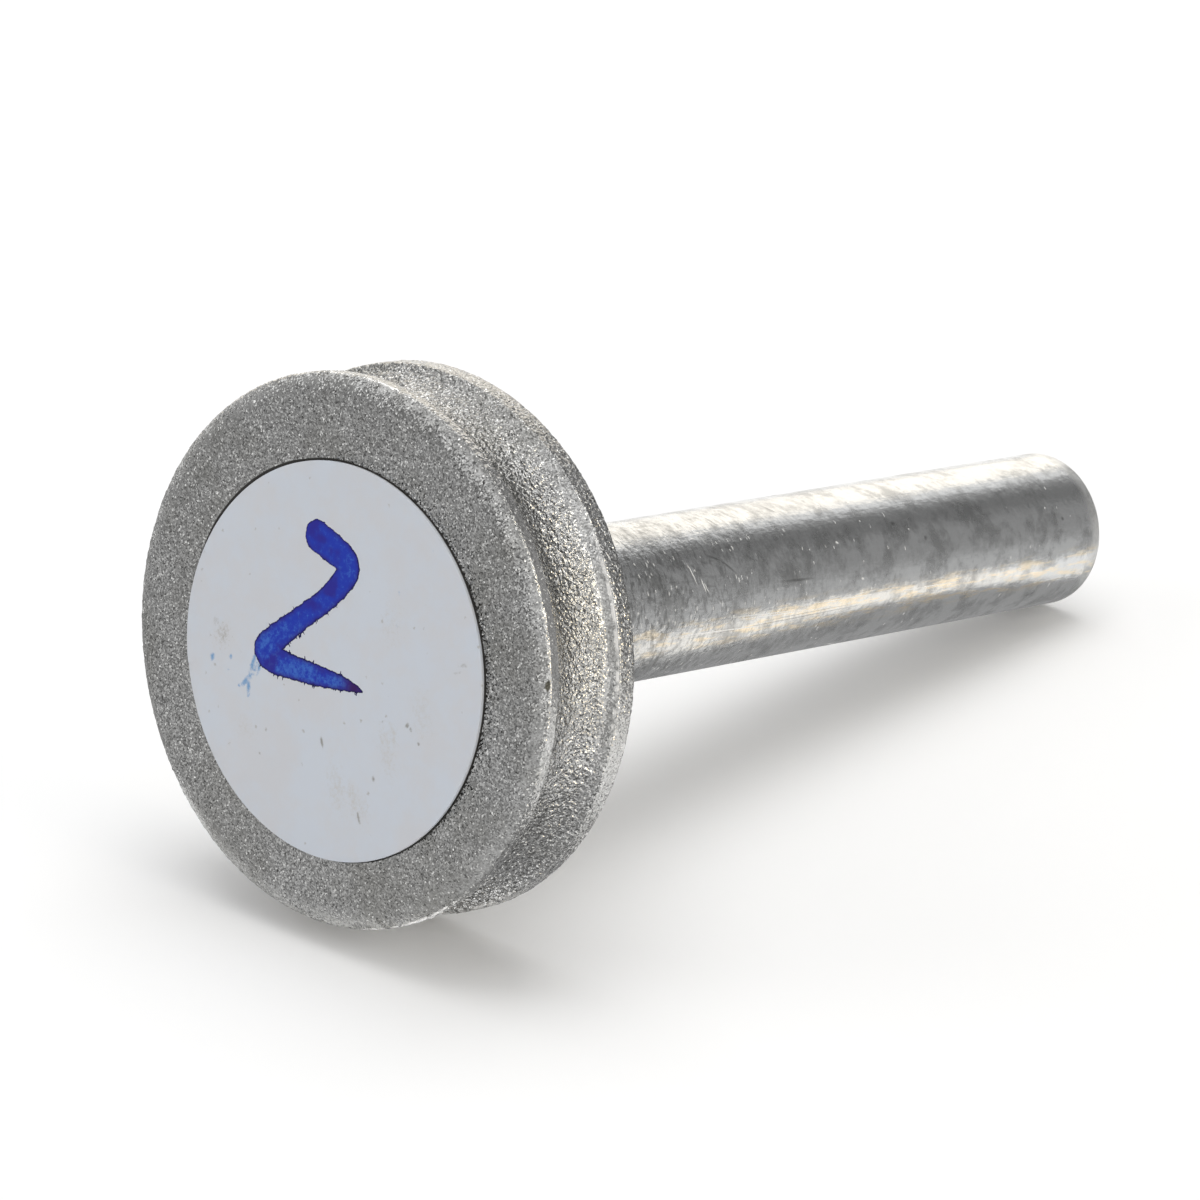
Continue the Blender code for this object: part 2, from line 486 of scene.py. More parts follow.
    def lip_highlight_line(self, tree: bpy.types.NodeTree) -> Socket:
        """Add nodes for the thin line along each lip of the groove, partly rubbed and partly a painted highlight.

        Args:
            tree: the node tree.

        Returns:
            How much of the line shows, from 0 to 1.
        """
        height = add_node(tree, "ShaderNodeSeparateXYZ", inputs={"Vector": self.axis.place(tree)}).outputs["Z"]
        gaps = []
        for lip in self.lips_mm:
            gap = add_node(tree, "ShaderNodeMath", {"operation": "SUBTRACT"}, {0: height, 1: lip * MM})
            gaps.append(add_node(tree, "ShaderNodeMath", {"operation": "ABSOLUTE"}, {0: gap.outputs[0]}).outputs[0])
        near = add_node(tree, "ShaderNodeMath", {"operation": "MINIMUM"}, {0: gaps[0], 1: gaps[1]}).outputs[0]
        rub = add_node(tree, "ShaderNodeAttribute", {"attribute_name": "lip"}).outputs["Fac"]
        line = add_node(tree, "ShaderNodeMapRange", {"interpolation_type": "SMOOTHSTEP"}, {
            "Value": near, "From Min": self.lip_half_mm * MM, "From Max": 0.25 * self.lip_half_mm * MM})
        return add_node(tree, "ShaderNodeMath", {"operation": "MULTIPLY"}, {
            0: line.outputs["Result"], 1: rub}).outputs[0]


@dataclass(frozen=True)
class Scratch:
    """A mark on the shank, from one place to another, and half its width in millimetres.

    A place is its distance from the shank's end in millimetres, and its angle round the axis in
    degrees from local X.
    """

    start: tuple[float, float]
    end: tuple[float, float]
    half_width: float


@dataclass(frozen=True)
class GroundSteel:
    """Bare tool steel, centreless ground and then scuffed by the collet and stained in the coolant.

    The grinding left faint lines, so long soft bands of light run along the shank, broken by cloudy
    stains, axial scuffs and bright nicks, with a coarser skin towards the head.
    """

    axis: LyingAxis
    shank_length: float
    shank_diameter: float
    clean: str = "#e2e3e3"
    stain: str = "#a2a3a3"
    scuff: str = "#f3f3f1"
    dark: str = "#5b5b58"
    # Cream tint of the painted highlight on the lower bright band
    warm_highlight: str = "#f7e8cd"
    dent_mm: float = 0.020
    roughness: tuple[float, float] = (0.21, 0.31)

    # Where the side is matt at its end, and how much rougher it is there
    matt_band: tuple[float, float] = (0.35, 0.95)
    matt_gain: float = 0.26

    # The warm band's middle and reach, in millimetres round the shank from local X: a cream tint that is a painted
    # highlight on the lower bright band
    warm_band_middle: float = -0.55
    warm_band_reach: float = 0.95
    bright_marks: tuple[Scratch, ...] = (
        Scratch((24.69, 42.8), (24.49, 25.8), 0.035),
        Scratch((24.23, 30.3), (24.06, 19.8), 0.040),
        Scratch((24.10, 27.0), (23.90, 19.0), 0.030),
        Scratch((23.10, -1.0), (18.60, -5.5), 0.022),
        Scratch((22.40, -4.2), (17.20, -7.4), 0.020),
        Scratch((25.60, -9.0), (20.10, -13.0), 0.028),
        Scratch((17.90, -2.0), (13.60, -3.6), 0.022),
        Scratch((12.90, -5.0), (9.10, -5.6), 0.020),
        Scratch((16.16, 39.9), (16.00, 38.6), 0.050),
        Scratch((15.04, 10.7), (14.90, 9.1), 0.050),
        Scratch((15.26, -53.2), (14.46, -56.6), 0.060),
    )
    dark_marks: tuple[Scratch, ...] = (
        Scratch((23.43, 46.2), (22.82, 40.7), 0.050),
        Scratch((22.82, 40.7), (22.23, 30.2), 0.055),
        Scratch((18.34, 85.6), (18.13, 73.0), 0.040),
        Scratch((21.83, 83.4), (21.77, 72.3), 0.070),
        Scratch((19.60, 18.0), (17.90, 16.6), 0.055),
        Scratch((12.62, 46.9), (12.36, 45.7), 0.090),
        Scratch((11.02, 32.0), (10.86, 31.0), 0.090),
        Scratch((2.52, 28.4), (2.36, 27.4), 0.080),
        Scratch((24.90, -12.4), (14.30, -10.4), 0.018),
        Scratch((21.20, -9.4), (15.30, -8.2), 0.015),
    )

    def build(self) -> bpy.types.Material:
        """Make the material."""
        material, tree = new_material("ground_tool_steel")
        place = self.axis.place(tree)
        parts = add_node(tree, "ShaderNodeSeparateXYZ", inputs={"Vector": place})
        near_head = self.ramp(tree, parts.outputs["Z"], 0.30 * self.shank_length * MM,
                              1.0 * self.shank_length * MM, 1.0)
        round_it = add_node(tree, "ShaderNodeMapping", inputs={
            "Vector": place, "Scale": (0.60, 0.60, 1.5)}).outputs[0]
        along_it = add_node(tree, "ShaderNodeMapping", inputs={
            "Vector": place, "Scale": (1.5, 1.5, 0.28)}).outputs[0]

        # Stains: clouds of about a millimetre with a sharper mottle in them, wipes drawn out round
        # the shank, and short axial dashes that thicken towards the head
        clouds = self.noise(tree, place, 820.0, 5.0)
        mottle = self.noise(tree, place, 2300.0, 4.0)
        wipes = self.noise(tree, round_it, 1500.0, 4.0)
        dashes = self.noise(tree, along_it, 3000.0, 4.0)
        stains = self.weigh(tree, wipes, 0.40, clouds)
        stains = self.weigh(tree, mottle, 0.40, stains)
        stained = self.ramp(tree, stains, 0.81, 1.12, 0.72)
        ticks = self.ramp(tree, dashes, 0.56, 0.68, 1.0)
        ticks = add_node(tree, "ShaderNodeMath", {"operation": "MULTIPLY"}, {0: ticks, 1: near_head}).outputs[0]
        bent = add_node(tree, "ShaderNodeTexNoise", inputs={"Vector": place, "Scale": 6000.0}).outputs["Color"]
        strayed = add_node(tree, "ShaderNodeVectorMath", {"operation": "MULTIPLY_ADD"}, {
            0: bent, 1: (0.20 * MM, 0.20 * MM, 0.20 * MM), 2: round_it}).outputs[0]
        cells = add_node(tree, "ShaderNodeTexVoronoi", {"feature": "F1"}, {"Vector": strayed, "Scale": 5200.0})
        draw = add_node(tree, "ShaderNodeSeparateColor", inputs={"Color": cells.outputs["Color"]})
        share = add_node(tree, "ShaderNodeMapRange", inputs={
            "Value": near_head, "To Min": 0.985, "To Max": 0.68}).outputs["Result"]
        chosen = add_node(tree, "ShaderNodeMath", {"operation": "GREATER_THAN"}, {
            0: draw.outputs["Red"], 1: share}).outputs[0]
        small = self.ramp(tree, cells.outputs["Distance"], 0.36, 0.16, 0.75)
        nicked = add_node(tree, "ShaderNodeMath", {"operation": "MULTIPLY"}, {0: chosen, 1: small}).outputs[0]

        # Scuffs and scratches lie where they are on the real shank, on its unrolled side
        unrolled = self.unroll(tree, parts, place)
        side = self.ramp(tree, parts.outputs["Z"], 0.1 * MM, 0.5 * MM, 1.0)
        # A painted warm highlight along the lower bright band
        warm_band = add_node(tree, "ShaderNodeMath", {"operation": "MULTIPLY"}, {
            0: self.warm_highlight_band(tree, unrolled, along_it), 1: side}).outputs[0]
        bright = self.draw(tree, unrolled, self.bright_marks)
        dark = self.draw(tree, unrolled, self.dark_marks)
        scattering = add_node(tree, "ShaderNodeMath", {"operation": "MAXIMUM"}, {0: nicked, 1: bright}).outputs[0]

        colour = add_node(tree, "ShaderNodeMix", {"data_type": "RGBA"}, {
            MIX_FACTOR: stained, MIX_A: srgb(self.clean), MIX_B: srgb(self.stain)}).outputs[MIX_RESULT]
        ticked = add_node(tree, "ShaderNodeMath", {"operation": "MULTIPLY"}, {0: ticks, 1: 0.40}).outputs[0]
        pepper = add_node(tree, "ShaderNodeMath", {"operation": "MULTIPLY"}, {
            0: self.ramp(tree, self.noise(tree, round_it, 3600.0, 4.0), 0.48, 0.62, 0.64), 1: near_head}).outputs[0]
        darkened = add_node(tree, "ShaderNodeMath", {"operation": "MULTIPLY"}, {0: dark, 1: 0.50}).outputs[0]
        for cover, tint in ((warm_band, self.warm_highlight), (ticked, self.dark), (pepper, self.dark), (darkened, self.dark),
                            (scattering, self.scuff)):
            colour = add_node(tree, "ShaderNodeMix", {"data_type": "RGBA"}, {
                MIX_FACTOR: cover, MIX_A: colour, MIX_B: srgb(tint)}).outputs[MIX_RESULT]

        # A fresh scratch scatters light from all sides, as a matt surface does
        metallic = add_node(tree, "ShaderNodeMapRange", inputs={
            "Value": scattering, "To Min": 1.0, "To Max": 0.25}).outputs["Result"]

        # Relief: dents of half a millimetre, axial dashes, and pits that thicken towards the head
        pits = self.noise(tree, place, 5200.0, 3.0)
        pitted = add_node(tree, "ShaderNodeMath", {"operation": "MULTIPLY"}, {0: pits, 1: near_head}).outputs[0]
        relief = self.weigh(tree, pitted, 1.7, self.noise(tree, place, 1500.0, 2.0))
        relief = self.weigh(tree, dashes, 0.40, relief)
        relief = self.weigh(tree, mottle, 0.20, relief)
        bump = add_node(tree, "ShaderNodeBump", inputs={
            "Strength": 1.0, "Distance": self.dent_mm * MM, "Height": relief})

        roughness = add_node(tree, "ShaderNodeMapRange", inputs={
            "Value": self.weigh(tree, near_head, 0.25, stained), "From Max": 1.0,
            "To Min": self.roughness[0], "To Max": self.roughness[1]}).outputs["Result"]
        matt = self.ramp(tree, parts.outputs["Z"], self.matt_band[1] * MM, self.matt_band[0] * MM, 1.0)
        roughness = self.weigh(tree, matt, self.matt_gain, roughness)
        shader = add_node(tree, "ShaderNodeBsdfPrincipled", inputs={
            "Base Color": colour, "Metallic": metallic, "Roughness": roughness,
            "Normal": bump.outputs[0]})
        finish_tree(tree, shader.outputs["BSDF"])
        return material

    def unroll(self, tree: bpy.types.NodeTree, parts: bpy.types.Node, place: Socket) -> Socket:
        """Add nodes that unroll the shank's side, round it and along it, a little strayed."""
        turn = add_node(tree, "ShaderNodeMath", {"operation": "ARCTAN2"}, {
            0: parts.outputs["Y"], 1: parts.outputs["X"]}).outputs[0]
        round_it = add_node(tree, "ShaderNodeMath", {"operation": "MULTIPLY"}, {
            0: turn, 1: 0.5 * self.shank_diameter * MM}).outputs[0]
        flat = add_node(tree, "ShaderNodeCombineXYZ", inputs={"X": round_it, "Y": parts.outputs["Z"]}).outputs[0]
        stray = add_node(tree, "ShaderNodeTexNoise", inputs={
            "Vector": place, "Scale": 5000.0, "Detail": 2.0}).outputs["Color"]
        return add_node(tree, "ShaderNodeVectorMath", {"operation": "MULTIPLY_ADD"}, {
            0: stray, 1: (0.05 * MM, 0.05 * MM, 0.0), 2: flat}).outputs[0]

    def warm_highlight_band(self, tree: bpy.types.NodeTree, unrolled: Socket, along_it: Socket) -> Socket:
        """Add nodes for the broken, cream painted highlight along the lower bright band, on one low side of the
        shank.
        """
        round_it = add_node(tree, "ShaderNodeSeparateXYZ", inputs={"Vector": unrolled}).outputs["X"]
        from_middle = add_node(tree, "ShaderNodeMath", {"operation": "SUBTRACT"}, {
            0: round_it, 1: self.warm_band_middle * MM}).outputs[0]
        from_middle = add_node(tree, "ShaderNodeMath", {"operation": "ABSOLUTE"}, {0: from_middle}).outputs[0]
        band = self.ramp(tree, from_middle, self.warm_band_reach * MM, 0.4 * self.warm_band_reach * MM, 1.0)
        streaks = self.ramp(tree, self.noise(tree, along_it, 2600.0, 4.0), 0.47, 0.66, 0.75)
        return add_node(tree, "ShaderNodeMath", {"operation": "MULTIPLY"}, {0: band, 1: streaks}).outputs[0]

    def draw(self, tree: bpy.types.NodeTree, unrolled: Socket, marks: Sequence[Scratch]) -> Socket:
        """Add nodes that say how much of a set of marks lies at a place.

        Args:
            tree: the node tree.
            unrolled: the place on the unrolled side.
            marks: the marks.

        Returns:
            The amount, from 0 to 1.
        """
        total: Socket | None = None
        for mark in marks:
            ends = np.array([(math.radians(turn) * 0.5 * self.shank_diameter, station)
                             for station, turn in (mark.start, mark.end)])
            middle, reach = ends.mean(axis=0), ends[1] - ends[0]
            lean = math.atan2(reach[1], reach[0]) - 0.5 * math.pi
            half_length = 0.5 * math.hypot(reach[0], reach[1])
            local = add_node(tree, "ShaderNodeMapping", {"vector_type": "TEXTURE"}, {
                "Vector": unrolled, "Location": (middle[0] * MM, middle[1] * MM, 0.0),
                "Rotation": (0.0, 0.0, lean),
                "Scale": (mark.half_width * MM, half_length * MM, 1.0)}).outputs[0]
            away = add_node(tree, "ShaderNodeVectorMath", {"operation": "LENGTH"}, {0: local}).outputs["Value"]
            amount = self.ramp(tree, away, 1.4, 0.3, 1.0)
            total = amount if total is None else add_node(tree, "ShaderNodeMath", {"operation": "MAXIMUM"}, {
                0: total, 1: amount}).outputs[0]
        return total

    @staticmethod
    def weigh(tree: bpy.types.NodeTree, value: Socket, weight: float, rest: Socket) -> Socket:
        """Add a value times its weight to the rest."""
        return add_node(tree, "ShaderNodeMath", {"operation": "MULTIPLY_ADD"}, {
            0: value, 1: weight, 2: rest}).outputs[0]

    @staticmethod
    def noise(tree: bpy.types.NodeTree, place: Socket, scale: float, detail: float) -> Socket:
        """Add a cloudy noise, and return its value."""
        return add_node(tree, "ShaderNodeTexNoise", inputs={
            "Vector": place, "Scale": scale, "Detail": detail, "Roughness": 0.62}).outputs["Fac"]

    @staticmethod
    def ramp(tree: bpy.types.NodeTree, value: Socket, low: float, high: float, most: float) -> Socket:
        """Add a soft step from 0 at the low value to the most at the high one."""
        return add_node(tree, "ShaderNodeMapRange", {"interpolation_type": "SMOOTHSTEP"}, {
            "Value": value, "From Min": low, "From Max": high, "To Max": most}).outputs["Result"]


@dataclass(frozen=True)
class CoatedPaper:
    """White label paper with a satin coat, faintly blue, that has been handled with dusty fingers.

    The coat gives a broad soft sheen, and the eye finds a few specks, smudges and a marker smear.
    """

    coat: str = "#cdd3dc"
    shade: str = "#ced0d5"
    speck: str = "#a09c95"
    grime: str = "#8d8b86"
    streak: str = "#beb9b1"
    smear: str = "#5c93c6"
    # Painted shade at the foot of the paper's edge
    foot_shade_colour: str = "#4a4948"
    roughness: float = 0.38

    def build(self) -> bpy.types.Material:
        """Make the material."""
        material, tree = new_material("coated_label_paper")
        place = add_node(tree, "ShaderNodeTexCoord").outputs["Object"]

        # Specks under 0.1 mm, few and faint, on a coat that is a little uneven
        clouds = add_node(tree, "ShaderNodeTexNoise", inputs={
            "Vector": place, "Scale": 420.0, "Detail": 5.0, "Roughness": 0.7}).outputs["Fac"]
        mild = add_node(tree, "ShaderNodeMapRange", {"interpolation_type": "SMOOTHSTEP"}, {
            "Value": clouds, "From Min": 0.35, "From Max": 0.65}).outputs["Result"]
        coat = add_node(tree, "ShaderNodeMix", {"data_type": "RGBA"}, {
            MIX_FACTOR: mild, MIX_A: srgb(self.coat), MIX_B: srgb(self.shade)}).outputs[MIX_RESULT]
        wisps = add_node(tree, "ShaderNodeTexNoise", inputs={
            "Vector": place, "Scale": 6500.0, "Detail": 5.0, "Roughness": 0.8}).outputs["Fac"]
        bent = add_node(tree, "ShaderNodeTexNoise", inputs={"Vector": place, "Scale": 9000.0}).outputs["Color"]
        strayed = add_node(tree, "ShaderNodeVectorMath", {"operation": "MULTIPLY_ADD"}, {
            0: bent, 1: (0.00016, 0.00016, 0.00016), 2: place}).outputs[0]
        cells = add_node(tree, "ShaderNodeTexVoronoi", {"feature": "F1"}, {"Vector": strayed, "Scale": 2600.0})
        draw = add_node(tree, "ShaderNodeSeparateColor", inputs={"Color": cells.outputs["Color"]})
        chosen = add_node(tree, "ShaderNodeMath", {"operation": "GREATER_THAN"}, {
            0: draw.outputs["Red"], 1: 0.90}).outputs[0]
        dot = add_node(tree, "ShaderNodeMapRange", {"interpolation_type": "SMOOTHSTEP"}, {
            "Value": cells.outputs["Distance"], "From Min": 0.05, "From Max": 0.22,
            "To Min": 0.6, "To Max": 0.0}).outputs["Result"]
        specks = add_node(tree, "ShaderNodeMath", {"operation": "MULTIPLY"}, {0: chosen, 1: dot}).outputs[0]
        base = add_node(tree, "ShaderNodeMix", {"data_type": "RGBA"}, {
            MIX_FACTOR: specks, MIX_A: coat, MIX_B: srgb(self.speck)})

        # Streaks, grime and the marker's smear lie where the label's points say, broken up finely
        colour = base.outputs[MIX_RESULT]
        for name, tint, most in (("streak", self.streak, 0.7), ("grime", self.grime, 0.9),
                                 ("smear", self.smear, 0.9)):
            amount = add_node(tree, "ShaderNodeAttribute", {"attribute_name": name}).outputs["Fac"]
            broken = add_node(tree, "ShaderNodeMath", {"operation": "ADD"}, {0: amount, 1: wisps}).outputs[0]
            cover = add_node(tree, "ShaderNodeMapRange", {"interpolation_type": "SMOOTHSTEP"}, {
                "Value": broken, "From Min": 0.78, "From Max": 1.25, "To Max": most}).outputs["Result"]
            colour = add_node(tree, "ShaderNodeMix", {"data_type": "RGBA"}, {
                MIX_FACTOR: cover, MIX_A: colour, MIX_B: srgb(tint)}).outputs[MIX_RESULT]

        # Painted shade: the foot of the paper's edge is darkened all round
        depth = add_node(tree, "ShaderNodeAttribute", {"attribute_name": "depth"}).outputs["Fac"]
        foot_shade = add_node(tree, "ShaderNodeMapRange", {"interpolation_type": "SMOOTHSTEP"}, {
            "Value": depth, "From Min": 0.62, "From Max": 0.76}).outputs["Result"]
        colour = add_node(tree, "ShaderNodeMix", {"data_type": "RGBA"}, {
            MIX_FACTOR: foot_shade, MIX_A: colour, MIX_B: srgb(self.foot_shade_colour)}).outputs[MIX_RESULT]
        fibres = add_node(tree, "ShaderNodeTexNoise", inputs={
            "Vector": place, "Scale": 2400.0, "Detail": 4.0, "Roughness": 0.6})
        bump = add_node(tree, "ShaderNodeBump", inputs={
            "Strength": 1.0, "Distance": 0.002 * MM, "Height": fibres.outputs["Fac"]})
        shader = add_node(tree, "ShaderNodeBsdfPrincipled", inputs={
            "Base Color": colour, "Roughness": self.roughness, "IOR": 1.5, "Normal": bump.outputs[0]})
        finish_tree(tree, shader.outputs["BSDF"])
        return material


@dataclass(frozen=True)
class MarkerInk:
    """Blue permanent marker ink that dried on the coat: a thin film, darkest where it pooled.

    The solvent carried the dye to the rim of the stroke, so a navy line runs round a bright blue,
    and the coat shows through as lighter flecks where the film is thin.
    """

    film: str = "#1734ad"
    thin: str = "#3a6cc4"
    pool: str = "#140f46"
    violet: str = "#2a1b86"
    tail: str = "#370f5c"
    rim_mm: float = 0.10
    shade_mm: float = 0.26
    roughness: float = 0.5
    specular: float = 0.2

    def build(self) -> bpy.types.Material:
        """Make the material."""
        material, tree = new_material("dried_marker_ink")
        place = add_node(tree, "ShaderNodeTexCoord").outputs["Object"]
        inside = add_node(tree, "ShaderNodeAttribute", {"attribute_name": "inside"}).outputs["Fac"]
        thinness = add_node(tree, "ShaderNodeAttribute", {"attribute_name": "thinness"}).outputs["Fac"]
        flecks = add_node(tree, "ShaderNodeTexNoise", inputs={
            "Vector": place, "Scale": 5500.0, "Detail": 4.0, "Roughness": 0.75}).outputs["Fac"]
        clouds = add_node(tree, "ShaderNodeTexNoise", inputs={
            "Vector": place, "Scale": 1000.0, "Detail": 3.0}).outputs["Fac"]
        both = add_node(tree, "ShaderNodeMath", {"operation": "MULTIPLY_ADD"}, {
            0: clouds, 1: 0.45, 2: flecks}).outputs[0]
        worn = add_node(tree, "ShaderNodeMath", {"operation": "MULTIPLY_ADD"}, {
            0: thinness, 1: 0.12, 2: both}).outputs[0]
        show = add_node(tree, "ShaderNodeMapRange", {"interpolation_type": "SMOOTHSTEP"}, {
            "Value": worn, "From Min": 0.72, "From Max": 1.04, "To Max": 0.90}).outputs["Result"]
        tone = add_node(tree, "ShaderNodeMix", {"data_type": "RGBA"}, {
            MIX_FACTOR: show, MIX_A: srgb(self.film), MIX_B: srgb(self.thin)}).outputs[MIX_RESULT]
        pools = add_node(tree, "ShaderNodeMapRange", {"interpolation_type": "SMOOTHSTEP"}, {
            "Value": clouds, "From Min": 0.50, "From Max": 0.34, "To Max": 0.70}).outputs["Result"]
        edge = add_node(tree, "ShaderNodeMapRange", {"interpolation_type": "SMOOTHSTEP"}, {
            "Value": inside, "From Min": 0.0, "From Max": self.shade_mm, "To Min": 0.75,
            "To Max": 0.0}).outputs["Result"]
        pools = add_node(tree, "ShaderNodeMath", {"operation": "MAXIMUM"}, {0: pools, 1: edge}).outputs[0]
        shaded = add_node(tree, "ShaderNodeMix", {"data_type": "RGBA"}, {
            MIX_FACTOR: pools, MIX_A: tone, MIX_B: srgb(self.violet)}).outputs[MIX_RESULT]
        end = add_node(tree, "ShaderNodeAttribute", {"attribute_name": "tail"}).outputs["Fac"]
        shaded = add_node(tree, "ShaderNodeMix", {"data_type": "RGBA"}, {
            MIX_FACTOR: end, MIX_A: shaded, MIX_B: srgb(self.tail)}).outputs[MIX_RESULT]
        rim = add_node(tree, "ShaderNodeMapRange", {"interpolation_type": "SMOOTHSTEP"}, {
            "Value": inside, "From Min": 0.0, "From Max": self.rim_mm, "To Min": 1.0,
            "To Max": 0.0}).outputs["Result"]
        colour = add_node(tree, "ShaderNodeMix", {"data_type": "RGBA"}, {
            MIX_FACTOR: rim, MIX_A: shaded, MIX_B: srgb(self.pool)}).outputs[MIX_RESULT]
        shader = add_node(tree, "ShaderNodeBsdfPrincipled", inputs={
            "Base Color": colour, "Roughness": self.roughness, "IOR": 1.48,
            "Specular IOR Level": self.specular})
        finish_tree(tree, shader.outputs["BSDF"])
        return material


@dataclass(frozen=True)
class LabelEdgeShadow:
    """Painted shadow round the label: a nearly black ring that stands for the paper's shadow and the gap under its
    edge.
    """

    # Colours of the painted shadow: its darkest and its lighter parts
    shadow_dark: str = "#171615"
    bare: str = "#35332f"
    roughness: float = 0.6

    def build(self) -> bpy.types.Material:
        """Make the material."""
        material, tree = new_material("label_edge_shadow_paint")
        place = add_node(tree, "ShaderNodeTexCoord").outputs["Object"]
        shadow_mottle = add_node(tree, "ShaderNodeTexNoise", inputs={"Vector": place, "Scale": 4000.0, "Detail": 3.0})
        colour = add_node(tree, "ShaderNodeMix", {"data_type": "RGBA"}, {
            MIX_FACTOR: shadow_mottle.outputs["Fac"], MIX_A: srgb(self.shadow_dark), MIX_B: srgb(self.bare)})
        shader = add_node(tree, "ShaderNodeBsdfPrincipled", inputs={
            "Base Color": colour.outputs[MIX_RESULT], "Roughness": self.roughness, "IOR": 1.47})
        finish_tree(tree, shader.outputs["BSDF"])
        return material


@dataclass
class TurnedBody:
    """The steel body: a disc head with a hollow groove round its rim, and a plain round shank."""

    axis: LyingAxis
    shank_diameter: float = 6.0
    shank_length: float = 35.8
    shank_end_chamfer: float = 0.3
    shank_root_fillet: float = 0.6
    head_diameter: float = 20.0
    head_thickness: float = 5.1
    edge_radius: float = 1.25
    edge_sweep: float = math.radians(44.0)
    face_land: float = 0.45
    rear_land: float = 0.80
    groove_depth: float = 0.85
    label_cover: float = 6.8
    facet_ratio: float = math.cos(math.pi / 80)
    head_columns: int = 620
    shank_columns: int = 124
    face_columns: int = 62
    grain_spacing: float = 0.10
    back_spacing: float = 0.17
    shank_spacing: float = 0.26
    seed: int = 11
    relief: dict[Zone, float] = field(default_factory=lambda: {
        Zone.FACE: 0.013, Zone.EDGE: 0.015, Zone.LAND: 0.012, Zone.GROOVE: 0.044,
        Zone.REAR_LAND: 0.013, Zone.REAR_EDGE: 0.012, Zone.BACK: 0.014})
    grit: dict[Zone, float] = field(default_factory=lambda: {
        Zone.FACE: 1.00, Zone.EDGE: 0.85, Zone.LAND: 0.70, Zone.GROOVE: 0.36, Zone.REAR_LAND: 0.80,
        Zone.REAR_EDGE: 0.85, Zone.BACK: 0.80})
    swell: dict[Zone, float] = field(default_factory=lambda: {
        Zone.FACE: 0.14, Zone.EDGE: 0.24, Zone.LAND: 0.70, Zone.GROOVE: 1.30, Zone.REAR_LAND: 0.80,
        Zone.REAR_EDGE: 0.85, Zone.BACK: 0.25})

    # A chip out of the plating on the crest: its height, its angle, half its height and half its length
    crest_chip: tuple[float, float, float, float] = (40.62, math.radians(9.1), 0.062, 0.20)
    chip_depth: float = 0.06

    # Stretches round the head: the middle and reach of each in degrees, and how much. Most wore; two only darken
    # the crest and rear edge, and the lip lines' stretches are partly wear and partly a painted highlight
    shelf_stretch: tuple[float, float, float] = (20.0, 38.0, 1.0)
    smooth_stretch: tuple[float, float, float] = (10.0, 32.0, 1.0)
    front_stretch: tuple[float, float, float] = (33.0, 27.0, 0.62)
    rear_land_stretch: tuple[float, float, float] = (-6.0, 15.0, 0.40)
    # A darker stretch of the crest, and of the rear edge, near the same angle round the head
    crest_darker_stretch: tuple[float, float, float] = (46.0, 22.0, 0.60)
    darker_half: float = 0.12
    rear_edge_darker_stretch: tuple[float, float, float] = (44.0, 18.0, 0.80)
    # Where the lip lines show: partly rubbing and partly a painted highlight
    crest_wear_and_highlight: tuple[tuple[float, float, float], ...] = (
        (90.0, 10.0, 0.75), (9.0, 8.0, 0.50), (-60.0, 12.0, 1.90), (180.0, 60.0, 0.20))
    rear_lip_wear_and_highlight: tuple[tuple[float, float, float], ...] = (
        (16.0, 18.0, 1.70), (-60.0, 12.0, 1.20), (180.0, 60.0, 0.20))

    @property
    def total_length(self) -> float:
        """Length from the end of the shank to the face."""
        return self.shank_length + self.head_thickness

    def outline(self) -> list[tuple[Zone, Line]]:
        """Follow the outer side from the centre of the face to the centre of the shank's end.

        Returns:
            Each zone's stretch as points of radius and height.
        """
        rim = 0.5 * self.head_diameter
        shank = 0.5 * self.shank_diameter
        top, back = self.total_length, self.shank_length
        run = self.edge_radius * math.sin(self.edge_sweep)
        fall = self.edge_radius * (1.0 - math.cos(self.edge_sweep))
        upper, lower = top - fall - self.face_land, back + fall + self.rear_land
        quarter = 0.5 * math.pi
        half_width = 0.5 * (upper - lower)
        hollow = (half_width ** 2 + self.groove_depth ** 2) / (2.0 * self.groove_depth)
        sweep = math.asin(half_width / hollow)
        groove = arc((rim - self.groove_depth + hollow, 0.5 * (upper + lower)), hollow,
                     math.pi - sweep, math.pi + sweep)
        fillet, chamfer = self.shank_root_fillet, self.shank_end_chamfer
        return [
            (Zone.HIDDEN_FACE, np.array([(0.0, top), (self.label_cover, top)])),
            (Zone.FACE, np.array([(self.label_cover, top), (rim - run, top)])),
            (Zone.EDGE, arc((rim - run, top - self.edge_radius), self.edge_radius,
                            quarter, quarter - self.edge_sweep)),
            (Zone.LAND, np.array([(rim, top - fall), (rim, upper)])),
            (Zone.GROOVE, groove),
            (Zone.REAR_LAND, np.array([(rim, lower), (rim, back + fall)])),
            (Zone.REAR_EDGE, arc((rim - run, back + self.edge_radius), self.edge_radius,
                                 self.edge_sweep - quarter, -quarter)),
            (Zone.BACK, np.array([(rim - run, back), (shank + fillet, back)])),
            (Zone.SHANK, np.vstack([
                arc((shank + fillet, back - fillet), fillet, quarter, 2.0 * quarter, 8),
                [(shank, chamfer)]])),
            (Zone.FOOT, arc((shank - chamfer, chamfer), chamfer, 0.0, -quarter)),
            (Zone.END, np.array([(shank - chamfer, 0.0), (0.0, 0.0)])),
        ]

